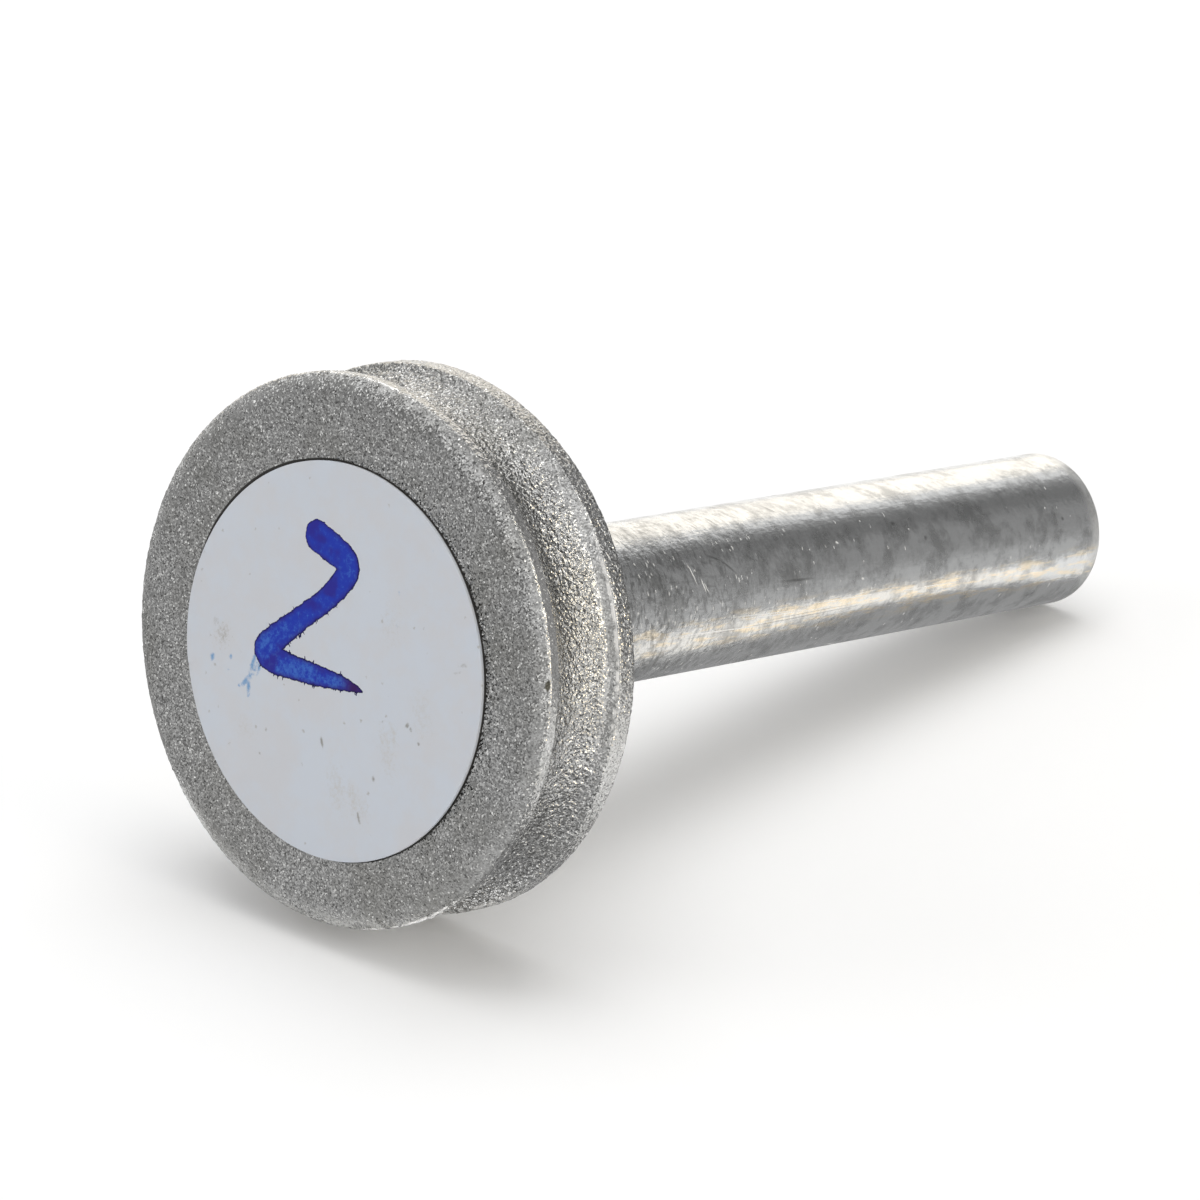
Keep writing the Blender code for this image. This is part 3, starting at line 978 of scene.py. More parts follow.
    def rings(self) -> list[Ring]:
        """Lay rings along the outline, close together where grit shows.

        Returns:
            The rings, from the centre of the face to the centre of the shank's end.
        """
        coarse = {Zone.HIDDEN_FACE: 3.4, Zone.BACK: self.back_spacing, Zone.SHANK: self.shank_spacing,
                  Zone.FOOT: 0.05, Zone.END: 0.40}
        columns = {Zone.HIDDEN_FACE: self.face_columns, Zone.SHANK: self.shank_columns,
                   Zone.FOOT: self.shank_columns, Zone.END: self.shank_columns}
        rings: list[Ring] = []
        for zone, line in self.outline():
            points = resample(line, coarse.get(zone, self.grain_spacing))
            for radius, height in points[1 if rings else 0:]:
                count = 1 if radius < 1e-6 else columns.get(zone, self.head_columns)
                rings.append(Ring(radius * self.facet_ratio, height, count, zone))
        return rings

    def roughen(self, skin: TurnedSkin) -> None:
        """Raise and sink the plated points at random, never past the turned size."""
        rng = np.random.default_rng(self.seed)
        noise = rng.normal(0.0, 1.0, len(skin.radius)).clip(-2.0, 2.0)
        shift = rng.uniform(-0.3, 0.3, (2, len(skin.radius)))
        hollow = self.hollow(skin)
        for zone, depth in self.relief.items():
            here = skin.in_zone(zone)
            skin.move_out(np.where(here, depth * (0.5 * noise * hollow - 1.0), 0.0))
            # A sideways shift keeps the crystals from standing in rows
            sideways = np.where(here, shift[0] * skin.spacing, 0.0)
            skin.radius = skin.radius + sideways * skin.out[:, 1]
            skin.height = skin.height - sideways * skin.out[:, 0]
            skin.angle = skin.angle + np.where(here, shift[1] * FULL_TURN / self.head_columns, 0.0)

    def across_groove(self, skin: TurnedSkin) -> np.ndarray:
        """Place each point across the groove, from 1 at its front lip to -1 at its rear lip."""
        fall = self.edge_radius * (1.0 - math.cos(self.edge_sweep))
        upper = self.total_length - fall - self.face_land
        lower = self.shank_length + fall + self.rear_land
        return (2.0 * skin.height - upper - lower) / (upper - lower)

    def hollow(self, skin: TurnedSkin) -> np.ndarray:
        """Say how coarse the grit is: 1, or less where the sides of the groove wore smooth."""
        front = self.front_side(skin) * self.worn_stretch(skin, self.smooth_stretch)
        smooth = np.maximum(front, self.shelf(skin))
        return np.where(skin.in_zone(Zone.GROOVE, Zone.LAND), 1.0 - 0.78 * smooth, 1.0)

    def front_side(self, skin: TurnedSkin) -> np.ndarray:
        """Say how far each point lies up the front side of the groove, towards the face."""
        return np.clip((self.across_groove(skin) - 0.28) / 0.30, 0.0, 1.0)

    @staticmethod
    def worn_stretch(skin: TurnedSkin, *stretches: tuple[float, float, float]) -> np.ndarray:
        """Add up how much stretches round the head, by middle and reach in degrees, wore each point."""
        total = np.zeros(len(skin.angle))
        for middle, reach, amount in stretches:
            off = np.degrees(np.angle(np.exp(1j * (skin.angle - math.radians(middle)))))
            total += amount * np.exp(-(off / reach) ** 2)
        return total

    def shelf(self, skin: TurnedSkin) -> np.ndarray:
        """Say where the rear side of the groove wore into a smooth shelf, along one side of the head."""
        across = np.clip((-0.70 - self.across_groove(skin)) / 0.14, 0.0, 1.0)
        return across * skin.in_zone(Zone.GROOVE) * self.worn_stretch(skin, self.shelf_stretch)

    def chip(self, skin: TurnedSkin) -> np.ndarray:
        """Say how deep each point lies in the chip out of the crest, up to 1 at its middle."""
        height, angle, tall, long = self.crest_chip
        round_it = (skin.angle - angle) * 0.5 * self.head_diameter
        return np.exp(-((skin.height - height) / tall) ** 2 - (round_it / long) ** 2)

    def lips(self) -> tuple[float, float]:
        """Heights of the groove's front crest and of its rear lip."""
        fall = self.edge_radius * (1.0 - math.cos(self.edge_sweep))
        return self.total_length - fall, self.shank_length + fall + self.rear_land

    def lip_wear_and_highlight(self, skin: TurnedSkin) -> np.ndarray:
        """Say how bright the nearer lip's line is at each point's angle, in spots: partly rubbing, partly a painted
        highlight.
        """
        rng = np.random.default_rng(self.seed + 1)
        crest = self.worn_stretch(skin, *self.crest_wear_and_highlight)
        rear = self.worn_stretch(skin, *self.rear_lip_wear_and_highlight)
        amount = 0.22 + np.where(self.across_groove(skin) > 0.0, crest, rear)
        return np.clip(1.5 * amount * patchy(skin.angle, 360, rng) - 0.25, 0.0, 1.0)

    def surface_state(self, skin: TurnedSkin) -> dict[str, np.ndarray]:
        """Gather what the head's material reads at each point.

        Args:
            skin: the turned skin, before it is roughened.

        Returns:
            By name: wear on the groove's sides, the lip lines that are partly wear and partly a painted highlight,
                a
            darker stretch of crest and rear edge, how far crystals lean, how high the swells stand, where patches
            are rubbed, and the crest's chip.
        """
        hollow = self.hollow(skin)
        grit, swell = np.ones(len(skin.radius)), np.ones(len(skin.radius))
        for zone, amount in self.grit.items():
            grit[skin.in_zone(zone)] = amount
        for zone, amount in self.swell.items():
            swell[skin.in_zone(zone)] = amount
        rubbed = np.where(skin.in_zone(Zone.EDGE), 1.0, 0.0)
        start = self.total_length - 0.02
        rubbed = rubbed * np.clip((start - skin.height) / 0.10, 0.0, 1.0)
        wear = self.shelf(skin) * (0.04 + 0.20 * patchy(skin.angle, 70, np.random.default_rng(self.seed)))
        front = self.front_side(skin) * skin.in_zone(Zone.GROOVE, Zone.LAND)
        wear = np.maximum(wear, front * self.worn_stretch(skin, self.front_stretch))
        rear = np.where(skin.in_zone(Zone.REAR_LAND), self.worn_stretch(skin, self.rear_land_stretch), 0.0)
        wear = np.maximum(wear, rear)
        # The crest and rear edge are darker near one angle round the head
        on_crest = np.exp(-((skin.height - self.lips()[0]) / self.darker_half) ** 2)
        darker_stretch = np.maximum(on_crest * self.worn_stretch(skin, self.crest_darker_stretch),
                            skin.in_zone(Zone.REAR_EDGE) * self.worn_stretch(skin, self.rear_edge_darker_stretch))
        return {"wear": wear, "lip": self.lip_wear_and_highlight(skin), "darker_stretch": darker_stretch, "grit": grit * hollow,
                "swell": swell * hollow, "rubbed": rubbed, "chip": self.chip(skin)}

    def build(self, grit_nickel: bpy.types.Material, ground_steel: bpy.types.Material) -> bpy.types.Object:
        """Make and dress the body.

        Args:
            grit_nickel: the finish of the head.
            ground_steel: the finish of the shank.

        Returns:
            The body, in place of its solid.
        """
        skin = TurnedSkin(self.rings())
        state = self.surface_state(skin)
        self.roughen(skin)
        skin.move_out(-self.chip_depth * state["chip"])
        body, bands = skin.to_object("ground_and_plated_body", self.axis.matrix())
        for name, values in state.items():
            store(body, name, values)
        body.data.materials.append(grit_nickel)
        body.data.materials.append(ground_steel)
        bare = np.array([ring.zone in (Zone.SHANK, Zone.FOOT, Zone.END) for ring in skin.rings])[bands]
        body.data.polygons.foreach_set("material_index", bare.astype(np.int32))
        body.data.polygons.foreach_set("use_smooth", [True] * len(bands))
        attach(body, ROOT_BODY)
        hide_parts("bit_body")
        return body


@dataclass(frozen=True)
class Mark:
    """A soft spot on the label: its place to the right and up, its reach up and across, in mm.

    It leans clockwise by some degrees, and its amount is 1 where it covers the paper.
    """

    right: float
    up: float
    tall: float
    wide: float
    lean: float
    amount: float

    def cover(self, u: np.ndarray, v: np.ndarray) -> np.ndarray:
        """Say how much of the mark lies at each place."""
        angle = math.radians(self.lean)
        along = (u - self.right) * math.sin(angle) + (v - self.up) * math.cos(angle)
        across = (u - self.right) * math.cos(angle) - (v - self.up) * math.sin(angle)
        return self.amount * np.exp(-((along / self.tall) ** 2 + (across / self.wide) ** 2))


@dataclass
class PaperLabel:
    """The round paper label, stuck to the face a little off its centre, with one side just lifting."""

    axis: LyingAxis
    face_height: float
    diameter: float = 14.4
    thickness: float = 0.15
    offset: tuple[float, float] = (0.1, -0.3)
    adhesive_gap: float = 0.02
    columns: int = 640
    inner_columns: int = 128
    spacing: float = 0.075
    hand_turn: float = math.radians(15.8)
    # Where the painted shadow round the label is widest, as an angle round its centre
    shadow_side: float = math.radians(146.0)
    seed: int = 5

    # Marks on the paper, in its writer's upright frame
    smears: tuple[Mark, ...] = (
        Mark(-3.80, -0.14, 0.50, 0.20, 26.0, 0.46),
        Mark(-3.94, -0.06, 0.62, 0.13, 27.0, 0.70),
        Mark(-3.64, -0.20, 0.52, 0.11, 24.0, 0.66),
        Mark(-3.90, -0.30, 0.06, 0.20, 20.0, 0.62),
        Mark(-3.98, -0.46, 0.06, 0.20, 20.0, 0.62),
        Mark(-3.76, -0.02, 0.06, 0.18, 20.0, 0.58),
        Mark(-4.42, -0.72, 0.38, 0.14, 52.0, 0.70),
        Mark(-4.25, -0.90, 0.38, 0.14, 6.0, 0.70),
        Mark(-4.15, -0.52, 0.22, 0.16, 30.0, 0.62),
        Mark(-4.72, -0.86, 0.09, 0.09, 0.0, 0.80),
        Mark(-4.30, -1.22, 0.09, 0.09, 0.0, 0.76),
        Mark(-5.95, 0.18, 0.22, 0.15, 30.0, 0.66),
        Mark(-5.02, 0.18, 0.15, 0.13, 0.0, 0.60),
        Mark(-5.20, -0.30, 0.11, 0.08, 60.0, 0.50),
        Mark(-3.10, 1.30, 0.20, 0.10, 20.0, 0.45),
        Mark(3.56, 2.50, 0.30, 0.12, 0.0, 0.34),
        Mark(3.30, 1.30, 0.20, 0.12, 0.0, 0.32),
        Mark(5.35, 3.86, 0.30, 0.12, 0.0, 0.33),
    )
    grimes: tuple[Mark, ...] = (
        Mark(-0.82, -2.88, 0.26, 0.08, -5.0, 0.85),
        Mark(3.42, -2.24, 0.16, 0.10, 40.0, 0.72),
        Mark(3.58, -2.38, 0.14, 0.07, 0.0, 0.72),
        Mark(3.90, -2.89, 0.09, 0.08, 0.0, 0.85),
        Mark(1.57, -4.15, 0.15, 0.10, 0.0, 0.68),
        Mark(0.68, -5.58, 0.28, 0.07, -8.0, 0.80),
        Mark(6.35, -0.10, 0.12, 0.40, 0.0, 0.50),
        Mark(6.05, -0.35, 0.10, 0.30, 0.0, 0.46),
        Mark(-5.30, 1.00, 0.70, 0.60, 30.0, 0.42),
        Mark(-5.60, 1.45, 0.30, 0.30, 30.0, 0.44),
        Mark(-3.55, -2.45, 0.10, 0.08, 0.0, 0.70),
        Mark(-3.97, -3.31, 0.12, 0.07, 0.0, 0.62),
        Mark(2.25, -2.10, 0.10, 0.08, 0.0, 0.55),
        Mark(-1.90, -3.70, 0.12, 0.08, 0.0, 0.50),
        Mark(4.60, 1.20, 0.10, 0.06, 0.0, 0.55),
    )
    streaks: tuple[Mark, ...] = (
        Mark(2.30, -3.10, 1.80, 0.70, -6.0, 0.45),
        Mark(2.70, -2.60, 0.90, 0.35, -6.0, 0.50),
        Mark(-0.30, -4.50, 1.60, 0.75, -6.0, 0.46),
        Mark(0.50, -4.90, 1.10, 0.40, -6.0, 0.50),
        Mark(0.90, -5.20, 1.10, 0.60, -6.0, 0.44),
        Mark(4.20, -1.80, 1.80, 0.90, 0.0, 0.40),
        Mark(3.00, 1.40, 1.80, 1.10, 0.0, 0.37),
        Mark(-4.60, -2.40, 1.10, 0.90, 0.0, 0.37),
        Mark(-5.40, 1.00, 1.00, 0.80, 30.0, 0.44),
    )

    @property
    def radius(self) -> float:
        """Half the label's diameter."""
        return 0.5 * self.diameter

    def in_place(self) -> Matrix:
        """Place of the label's own frame, with its foot on the face."""
        return self.axis.matrix(self.face_height) @ Matrix.Translation(
            (self.offset[0] * MM, self.offset[1] * MM, 0.0))

    def rings(self) -> list[Ring]:
        """Lay rings over the label, from the centre of its top to the centre of its back."""
        top = self.adhesive_gap + self.thickness
        corner = 0.15 * self.thickness
        edge = self.radius - corner
        rings = [Ring(0.0, top, 1, Zone.FACE)]
        for radius in np.arange(self.spacing, edge, self.spacing):
            rings.append(Ring(radius, top, self.inner_columns if radius < 1.6 else self.columns, Zone.FACE))
        for radius, height in arc((edge, top - corner), corner, 0.5 * math.pi, 0.0, 4):
            rings.append(Ring(radius, height, self.columns, Zone.EDGE))
        rings.append(Ring(self.radius, self.adhesive_gap, self.columns, Zone.EDGE))
        rings.append(Ring(self.radius - 0.3, self.adhesive_gap, self.columns, Zone.BACK))
        rings.append(Ring(1.5, self.adhesive_gap, self.inner_columns, Zone.BACK))
        rings.append(Ring(0.0, self.adhesive_gap, 1, Zone.BACK))
        return rings

    def upright(self, x: np.ndarray, y: np.ndarray) -> tuple[np.ndarray, np.ndarray]:
        """Turn places on the label into its writer's upright frame, in millimetres."""
        c, s = math.cos(self.hand_turn), math.sin(self.hand_turn)
        return c * x + s * y, c * y - s * x

    def build(self, paper: bpy.types.Material) -> bpy.types.Object:
        """Make and dress the label.

        Args:
            paper: the finish of the paper.

        Returns:
            The label, in place of its solid.
        """
        rng = np.random.default_rng(self.seed)
        skin = TurnedSkin(self.rings())
        u, v = self.upright(skin.radius * np.cos(skin.angle), skin.radius * np.sin(skin.angle))
        # The punch left the edge a few hundredths of a millimetre out of round
        skin.radius = skin.radius * (1.0 + 0.003 * (patchy(skin.angle, 9, rng) - 1.0))
        # The paper follows its uneven glue, and lifts a little along the upper left of its edge
        rim = np.clip((skin.radius - 0.86 * self.radius) / (0.14 * self.radius), 0.0, 1.0)
        lift_side = np.exp(-((np.arctan2(v, u) - math.radians(160.0)) / 0.55) ** 2)
        ripple = 0.012 * (patchy(skin.angle, 14, rng) - 0.5) * skin.radius / self.radius
        below_top = self.adhesive_gap + self.thickness - skin.height
        skin.height = skin.height + ripple + 0.05 * rim ** 2 * lift_side

        label, bands = skin.to_object("paper_label", self.in_place())
        for name, marks in (("smear", self.smears), ("grime", self.grimes), ("streak", self.streaks)):
            store(label, name, np.max([mark.cover(u, v) for mark in marks], axis=0))
        store(label, "depth", below_top / self.thickness)
        label.data.materials.append(paper)
        label.data.polygons.foreach_set("use_smooth", [True] * len(bands))
        label.data.set_sharp_from_angle(angle=math.radians(50.0))
        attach(label, ROOT_BODY)
        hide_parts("label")
        return label

    def build_edge_shadow(self, shadow_finish: bpy.types.Material) -> bpy.types.Object:
        """Make the painted shadow round the label: a thin dark ring, wider along its upper left where the paper's
        edge lifts.
        """
        rng = np.random.default_rng(self.seed + 1)
        outer, film = self.radius + 0.024, 0.6 * self.adhesive_gap
        rings = [Ring(self.radius - 0.6, film, self.columns, Zone.FACE),
                 Ring(outer - 0.02, film, self.columns, Zone.FACE),
                 Ring(outer, 0.3 * film, self.columns, Zone.EDGE),
                 Ring(outer, -0.03, self.columns, Zone.EDGE),
                 Ring(self.radius - 0.6, -0.03, self.columns, Zone.BACK)]
        skin = TurnedSkin(rings, loop=True)
        # Painted shadow: the ring is thin all round and reaches furthest on its shadow side
        shadow_reach = 0.02 * (patchy(skin.angle, 40, rng) - 0.35) * patchy(skin.angle, 5, rng)
        wide = 0.15 * np.exp(-((np.angle(np.exp(1j * (skin.angle - self.shadow_side)))) / 0.65) ** 2)
        shadow_reach = shadow_reach + wide * (0.75 + 0.5 * patchy(skin.angle, 40, rng))
        skin.radius = skin.radius + np.where(skin.radius > self.radius, shadow_reach, 0.0)
        line, bands = skin.to_object("painted_label_edge_shadow", self.in_place())
        line.data.materials.append(shadow_finish)
        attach(line, ROOT_BODY)
        return line


@dataclass
class MarkerNumeral:
    """A plain figure 2, written on the label by hand with a broad marker."""

    label: PaperLabel

    # The stroke's middle in the writer's upright frame, right and up, and its half width, in mm
    stroke: tuple[tuple[float, float, float], ...] = (
        (-0.18, 4.50, 0.62), (0.25, 4.22, 0.61), (0.72, 3.92, 0.59), (1.12, 3.58, 0.56), (1.18, 3.26, 0.53),
        (0.88, 2.92, 0.50), (0.50, 2.60, 0.47), (-0.20, 2.14, 0.44), (-0.95, 1.77, 0.44), (-1.70, 1.38, 0.46),
        (-2.25, 1.10, 0.49), (-2.85, 0.74, 0.54), (-3.20, 0.42, 0.60), (-2.85, 0.10, 0.56), (-2.30, -0.10, 0.49),
        (-1.80, -0.23, 0.46), (-1.00, -0.43, 0.42), (-0.15, -0.63, 0.34), (0.50, -0.78, 0.27),
        (1.00, -0.92, 0.17), (1.34, -1.05, 0.06),
    )
    film: float = 0.012
    cell: float = 0.035
    bristle_count: int = 46
    seed: int = 23

    def away(self, u: np.ndarray, v: np.ndarray) -> np.ndarray:
        """Measure how far places lie outside the stroke.

        Args:
            u: places to the right, in millimetres.
            v: places up, in millimetres.

        Returns:
            The distance to the stroke's edge, negative inside.
        """
        line = smooth_curve(self.stroke, 0.08)
        closest = np.full(u.shape, np.inf)
        for (u0, v0, w0), (u1, v1, w1) in zip(line, line[1:]):
            du, dv = u1 - u0, v1 - v0
            t = np.clip(((u - u0) * du + (v - v0) * dv) / (du * du + dv * dv), 0.0, 1.0)
            distance = np.hypot(u - u0 - t * du, v - v0 - t * dv) - (w0 + t * (w1 - w0))
            closest = np.minimum(closest, distance)
        return closest

    def ragged(self, u: np.ndarray, v: np.ndarray) -> np.ndarray:
        """Fray the stroke's edge with a fine wave and with bristles of ink.

        Args:
            u: places to the right, in millimetres.
            v: places up, in millimetres.

        Returns:
            The distance to the frayed edge, negative inside.
        """
        rng = np.random.default_rng(self.seed)
        distance = self.away(u, v)
        for wave, height in ((0.55, 0.020), (0.23, 0.012), (0.11, 0.010)):
            lean, phase = rng.uniform(0.0, math.pi, 2)
            along = (u * math.cos(lean) + v * math.sin(lean)) * FULL_TURN / wave
            cross = (v * math.cos(lean) - u * math.sin(lean)) * FULL_TURN / wave
            distance = distance + height * np.sin(along + phase) * np.cos(cross - phase)
        line = smooth_curve(self.stroke, 0.08)
        for _ in range(self.bristle_count):
            # Bristles gather on the lower, drier half of the stroke
            i = int(len(line) * (0.30 + 0.68 * rng.random())) if rng.random() < 0.85 else rng.integers(len(line))
            i = min(max(int(i), 1), len(line) - 2)
            ahead = line[i + 1] - line[i - 1]
            side = math.copysign(1.0, rng.random() - 0.5)
            out = side * np.array((-ahead[1], ahead[0])) / math.hypot(ahead[0], ahead[1])
            root = line[i, :2] + out * (line[i, 2] - 0.03)
            tip = root + out * rng.uniform(0.05, 0.16) + rng.normal(0.0, 0.02, 2)
            du, dv = tip - root
            t = np.clip(((u - root[0]) * du + (v - root[1]) * dv) / (du * du + dv * dv), 0.0, 1.0)
            bristle = np.hypot(u - root[0] - t * du, v - root[1] - t * dv) - (0.034 - 0.018 * t)
            distance = np.minimum(distance, bristle)
        return distance

    def build(self, ink: bpy.types.Material) -> bpy.types.Object:
        """Make and dress the dried ink, as a thin closed film on the paper.

        Args:
            ink: the finish of the ink.

        Returns:
            The numeral.
        """
        points = np.array(self.stroke)
        reach = points[:, 2].max() + 0.4
        us = np.arange(points[:, 0].min() - reach, points[:, 0].max() + reach, self.cell)
        vs = np.arange(points[:, 1].min() - reach, points[:, 1].max() + reach, self.cell)
        grid_u, grid_v = np.meshgrid(us, vs, indexing="ij")
        depth = -self.ragged(grid_u, grid_v)
        flat, inside, faces = clip_grid(grid_u, grid_v, depth)
        outline = open_edges(faces)

        c, s = math.cos(self.label.hand_turn), math.sin(self.label.hand_turn)
        x = c * flat[:, 0] - s * flat[:, 1]
        y = s * flat[:, 0] + c * flat[:, 1]
        foot = self.label.adhesive_gap + self.label.thickness - 0.003
        swell = 0.003 + self.film * np.clip(inside / 0.12, 0.0, 1.0) ** 0.5
        count = len(x)
        top = np.column_stack([x, y, foot + swell])
        bottom = np.column_stack([x, y, np.full(count, foot - 0.02)])
        solid = [tuple(face) for face in faces]
        solid += [tuple(count + i for i in reversed(face)) for face in faces]
        solid += [(b, a, count + a, count + b) for a, b in outline]
        mesh = bpy.data.meshes.new("marker_numeral")
        mesh.from_pydata(placed(np.vstack([top, bottom]), self.label.in_place()).tolist(), [], solid)
        numeral = bpy.data.objects.new("marker_numeral", mesh)
        bpy.context.scene.collection.objects.link(numeral)
        thinness = np.exp(-((flat[:, 1] + 0.4) / 1.3) ** 2)
        store(numeral, "inside", np.concatenate([inside, inside]))
        store(numeral, "thinness", np.concatenate([thinness, thinness]))
        end_u, end_v, _ = self.stroke[-2]
        tail = np.exp(-(np.hypot(flat[:, 0] - end_u, flat[:, 1] - end_v) / 0.5) ** 2)
        store(numeral, "tail", np.concatenate([tail, tail]))
        mesh.materials.append(ink)
        mesh.polygons.foreach_set("use_smooth", [True] * len(mesh.polygons))
        mesh.set_sharp_from_angle(angle=math.radians(60.0))
        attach(numeral, ROOT_BODY)
        return numeral


def clip_grid(u: np.ndarray, v: np.ndarray, depth: np.ndarray) -> tuple[Line, np.ndarray, list[tuple[int, ...]]]:
    """Cut the part of a grid where a depth is positive, with its border between the grid's points.

    Args:
        u: the grid's places to the right.
        v: the grid's places up.
        depth: the depth at each place.

    Returns:
        The points that are left, the depth at each, and the triangles between them.
    """
    points: list[tuple[float, float]] = []
    depths: list[float] = []
    seen: dict[tuple[int, int], int] = {}
    width = u.shape[1]
    flat_u, flat_v, flat_d = u.ravel(), v.ravel(), depth.ravel()

    def corner(i: int, j: int) -> int:
        """Index of the point at i, or of the border point between i and j."""
        key = (min(i, j), max(i, j))
        if key not in seen:
            t = 0.0 if i == j else flat_d[i] / (flat_d[i] - flat_d[j])
            seen[key] = len(points)
            points.append((flat_u[i] + t * (flat_u[j] - flat_u[i]), flat_v[i] + t * (flat_v[j] - flat_v[i])))
            depths.append(flat_d[i] if i == j else 0.0)
        return seen[key]

    faces: list[tuple[int, ...]] = []
    positive = depth > 0.0
    touched = positive[:-1, :-1] | positive[1:, :-1] | positive[:-1, 1:] | positive[1:, 1:]
    for row, column in np.argwhere(touched):
        a = int(row * width + column)
        for triangle in ((a, a + width, a + width + 1), (a, a + width + 1, a + 1)):
            ring: list[int] = []
            for i, j in zip(triangle, triangle[1:] + triangle[:1]):
                if flat_d[i] > 0.0:
                    ring.append(corner(i, i))
                if (flat_d[i] > 0.0) != (flat_d[j] > 0.0):
                    ring.append(corner(i, j))
            if len(ring) >= 3:
                faces.append(tuple(ring))
    return np.array(points), np.array(depths), faces


def open_edges(faces: Sequence[tuple[int, ...]]) -> list[tuple[int, int]]:
    """List the edges that only one face has, each in that face's direction."""
    edges = {(a, b) for face in faces for a, b in zip(face, face[1:] + face[:1])}
    return sorted((a, b) for a, b in edges if (b, a) not in edges)


@dataclass
class PhotoCamera:
    """The camera at the photograph's place: a long lens that looks down on the lying bit."""

    azimuth: float = math.radians(42.296)
    elevation: float = math.radians(23.635)
    focal_pixels: float = 7049.6
    frame_pixels: float = 1200.0
    sensor_width: float = 36.0

    # The centre of the face as the camera sees it: to the right, down and ahead, in millimetres
    face_right: float = -9.427
    face_down: float = 1.868
    face_ahead: float = 250.0

    def build(self, face_centre: Vector) -> bpy.types.Object:
        """Make the camera and give it to the scene.

        Args:
            face_centre: the centre of the bit's face.

        Returns:
            The camera.
        """
        level, tip = math.cos(self.elevation), math.sin(self.elevation)
        ahead = Vector((-math.sin(self.azimuth) * level, math.cos(self.azimuth) * level, -tip))
        right = Vector((math.cos(self.azimuth), math.sin(self.azimuth), 0.0))
        down = ahead.cross(right)
        place = face_centre - MM * (right * self.face_right + down * self.face_down + ahead * self.face_ahead)
        data = bpy.data.cameras.new("photo_camera")
        data.sensor_width = self.sensor_width
        data.lens = self.focal_pixels / self.frame_pixels * self.sensor_width
        data.clip_start = 0.01
        camera = bpy.data.objects.new("photo_camera", data)
        camera.matrix_world = Matrix.Translation(place) @ Matrix((right, -down, -ahead)).transposed().to_4x4()
        bpy.context.scene.collection.objects.link(camera)
        bpy.context.scene.camera = camera
        return camera


@dataclass(frozen=True)
class Softbox:
    """A square lamp with an even front: where it stands, its size and the light it gives."""

    name: str
    place: tuple[float, float, float]
    size: float
    power: float
    colour: str = "#ffffff"
    mirrored: bool = True


Corners = tuple[tuple[float, float, float], ...]


def wall(start: float, end: float, top: float, distance: float = 0.9) -> Corners:
    """Stand an upright card between two directions, in degrees from +X towards +Y, in metres."""
    ends = [(distance * math.cos(math.radians(turn)), distance * math.sin(math.radians(turn)))
            for turn in (start, end)]
    return ((*ends[0], 0.0), (*ends[1], 0.0), (*ends[1], top), (*ends[0], top))


def ground(layer: int, *points: tuple[float, float]) -> Corners:
    """Lay a card on the floor, with its corners in millimetres, a tenth of one up for each layer."""
    return tuple((x * MM, y * MM, 0.1 * layer * MM) for x, y in points)


def direction(turn: float, rise: float) -> Vector:
    """Point in a direction, given in degrees from +X towards +Y and in degrees up."""
    level = math.cos(math.radians(rise))
    return Vector((level * math.cos(math.radians(turn)), level * math.sin(math.radians(turn)),
                   math.sin(math.radians(rise))))


def overhead(distance: float, *directions: tuple[float, float]) -> Corners:
    """Hang a card whose corners lie this far off, in these directions."""
    return tuple(tuple(distance * direction(turn, rise)) for turn, rise in directions)


def strip(distance: float, half_width: float, start: tuple[float, float], end: tuple[float, float]) -> Corners:
    """Hang a long narrow card between two directions."""
    a, b = direction(*start), direction(*end)
    side = a.cross(b).normalized() * half_width
    return tuple(tuple(distance * corner) for corner in (a + side, a - side, b - side, b + side))


@dataclass(frozen=True)
class Card:
    """A flat card that only reflections see: how bright it is, its corners in metres, and its tint."""

    name: str
    grey: float
    corners: Corners
    tint: str = "#ffffff"


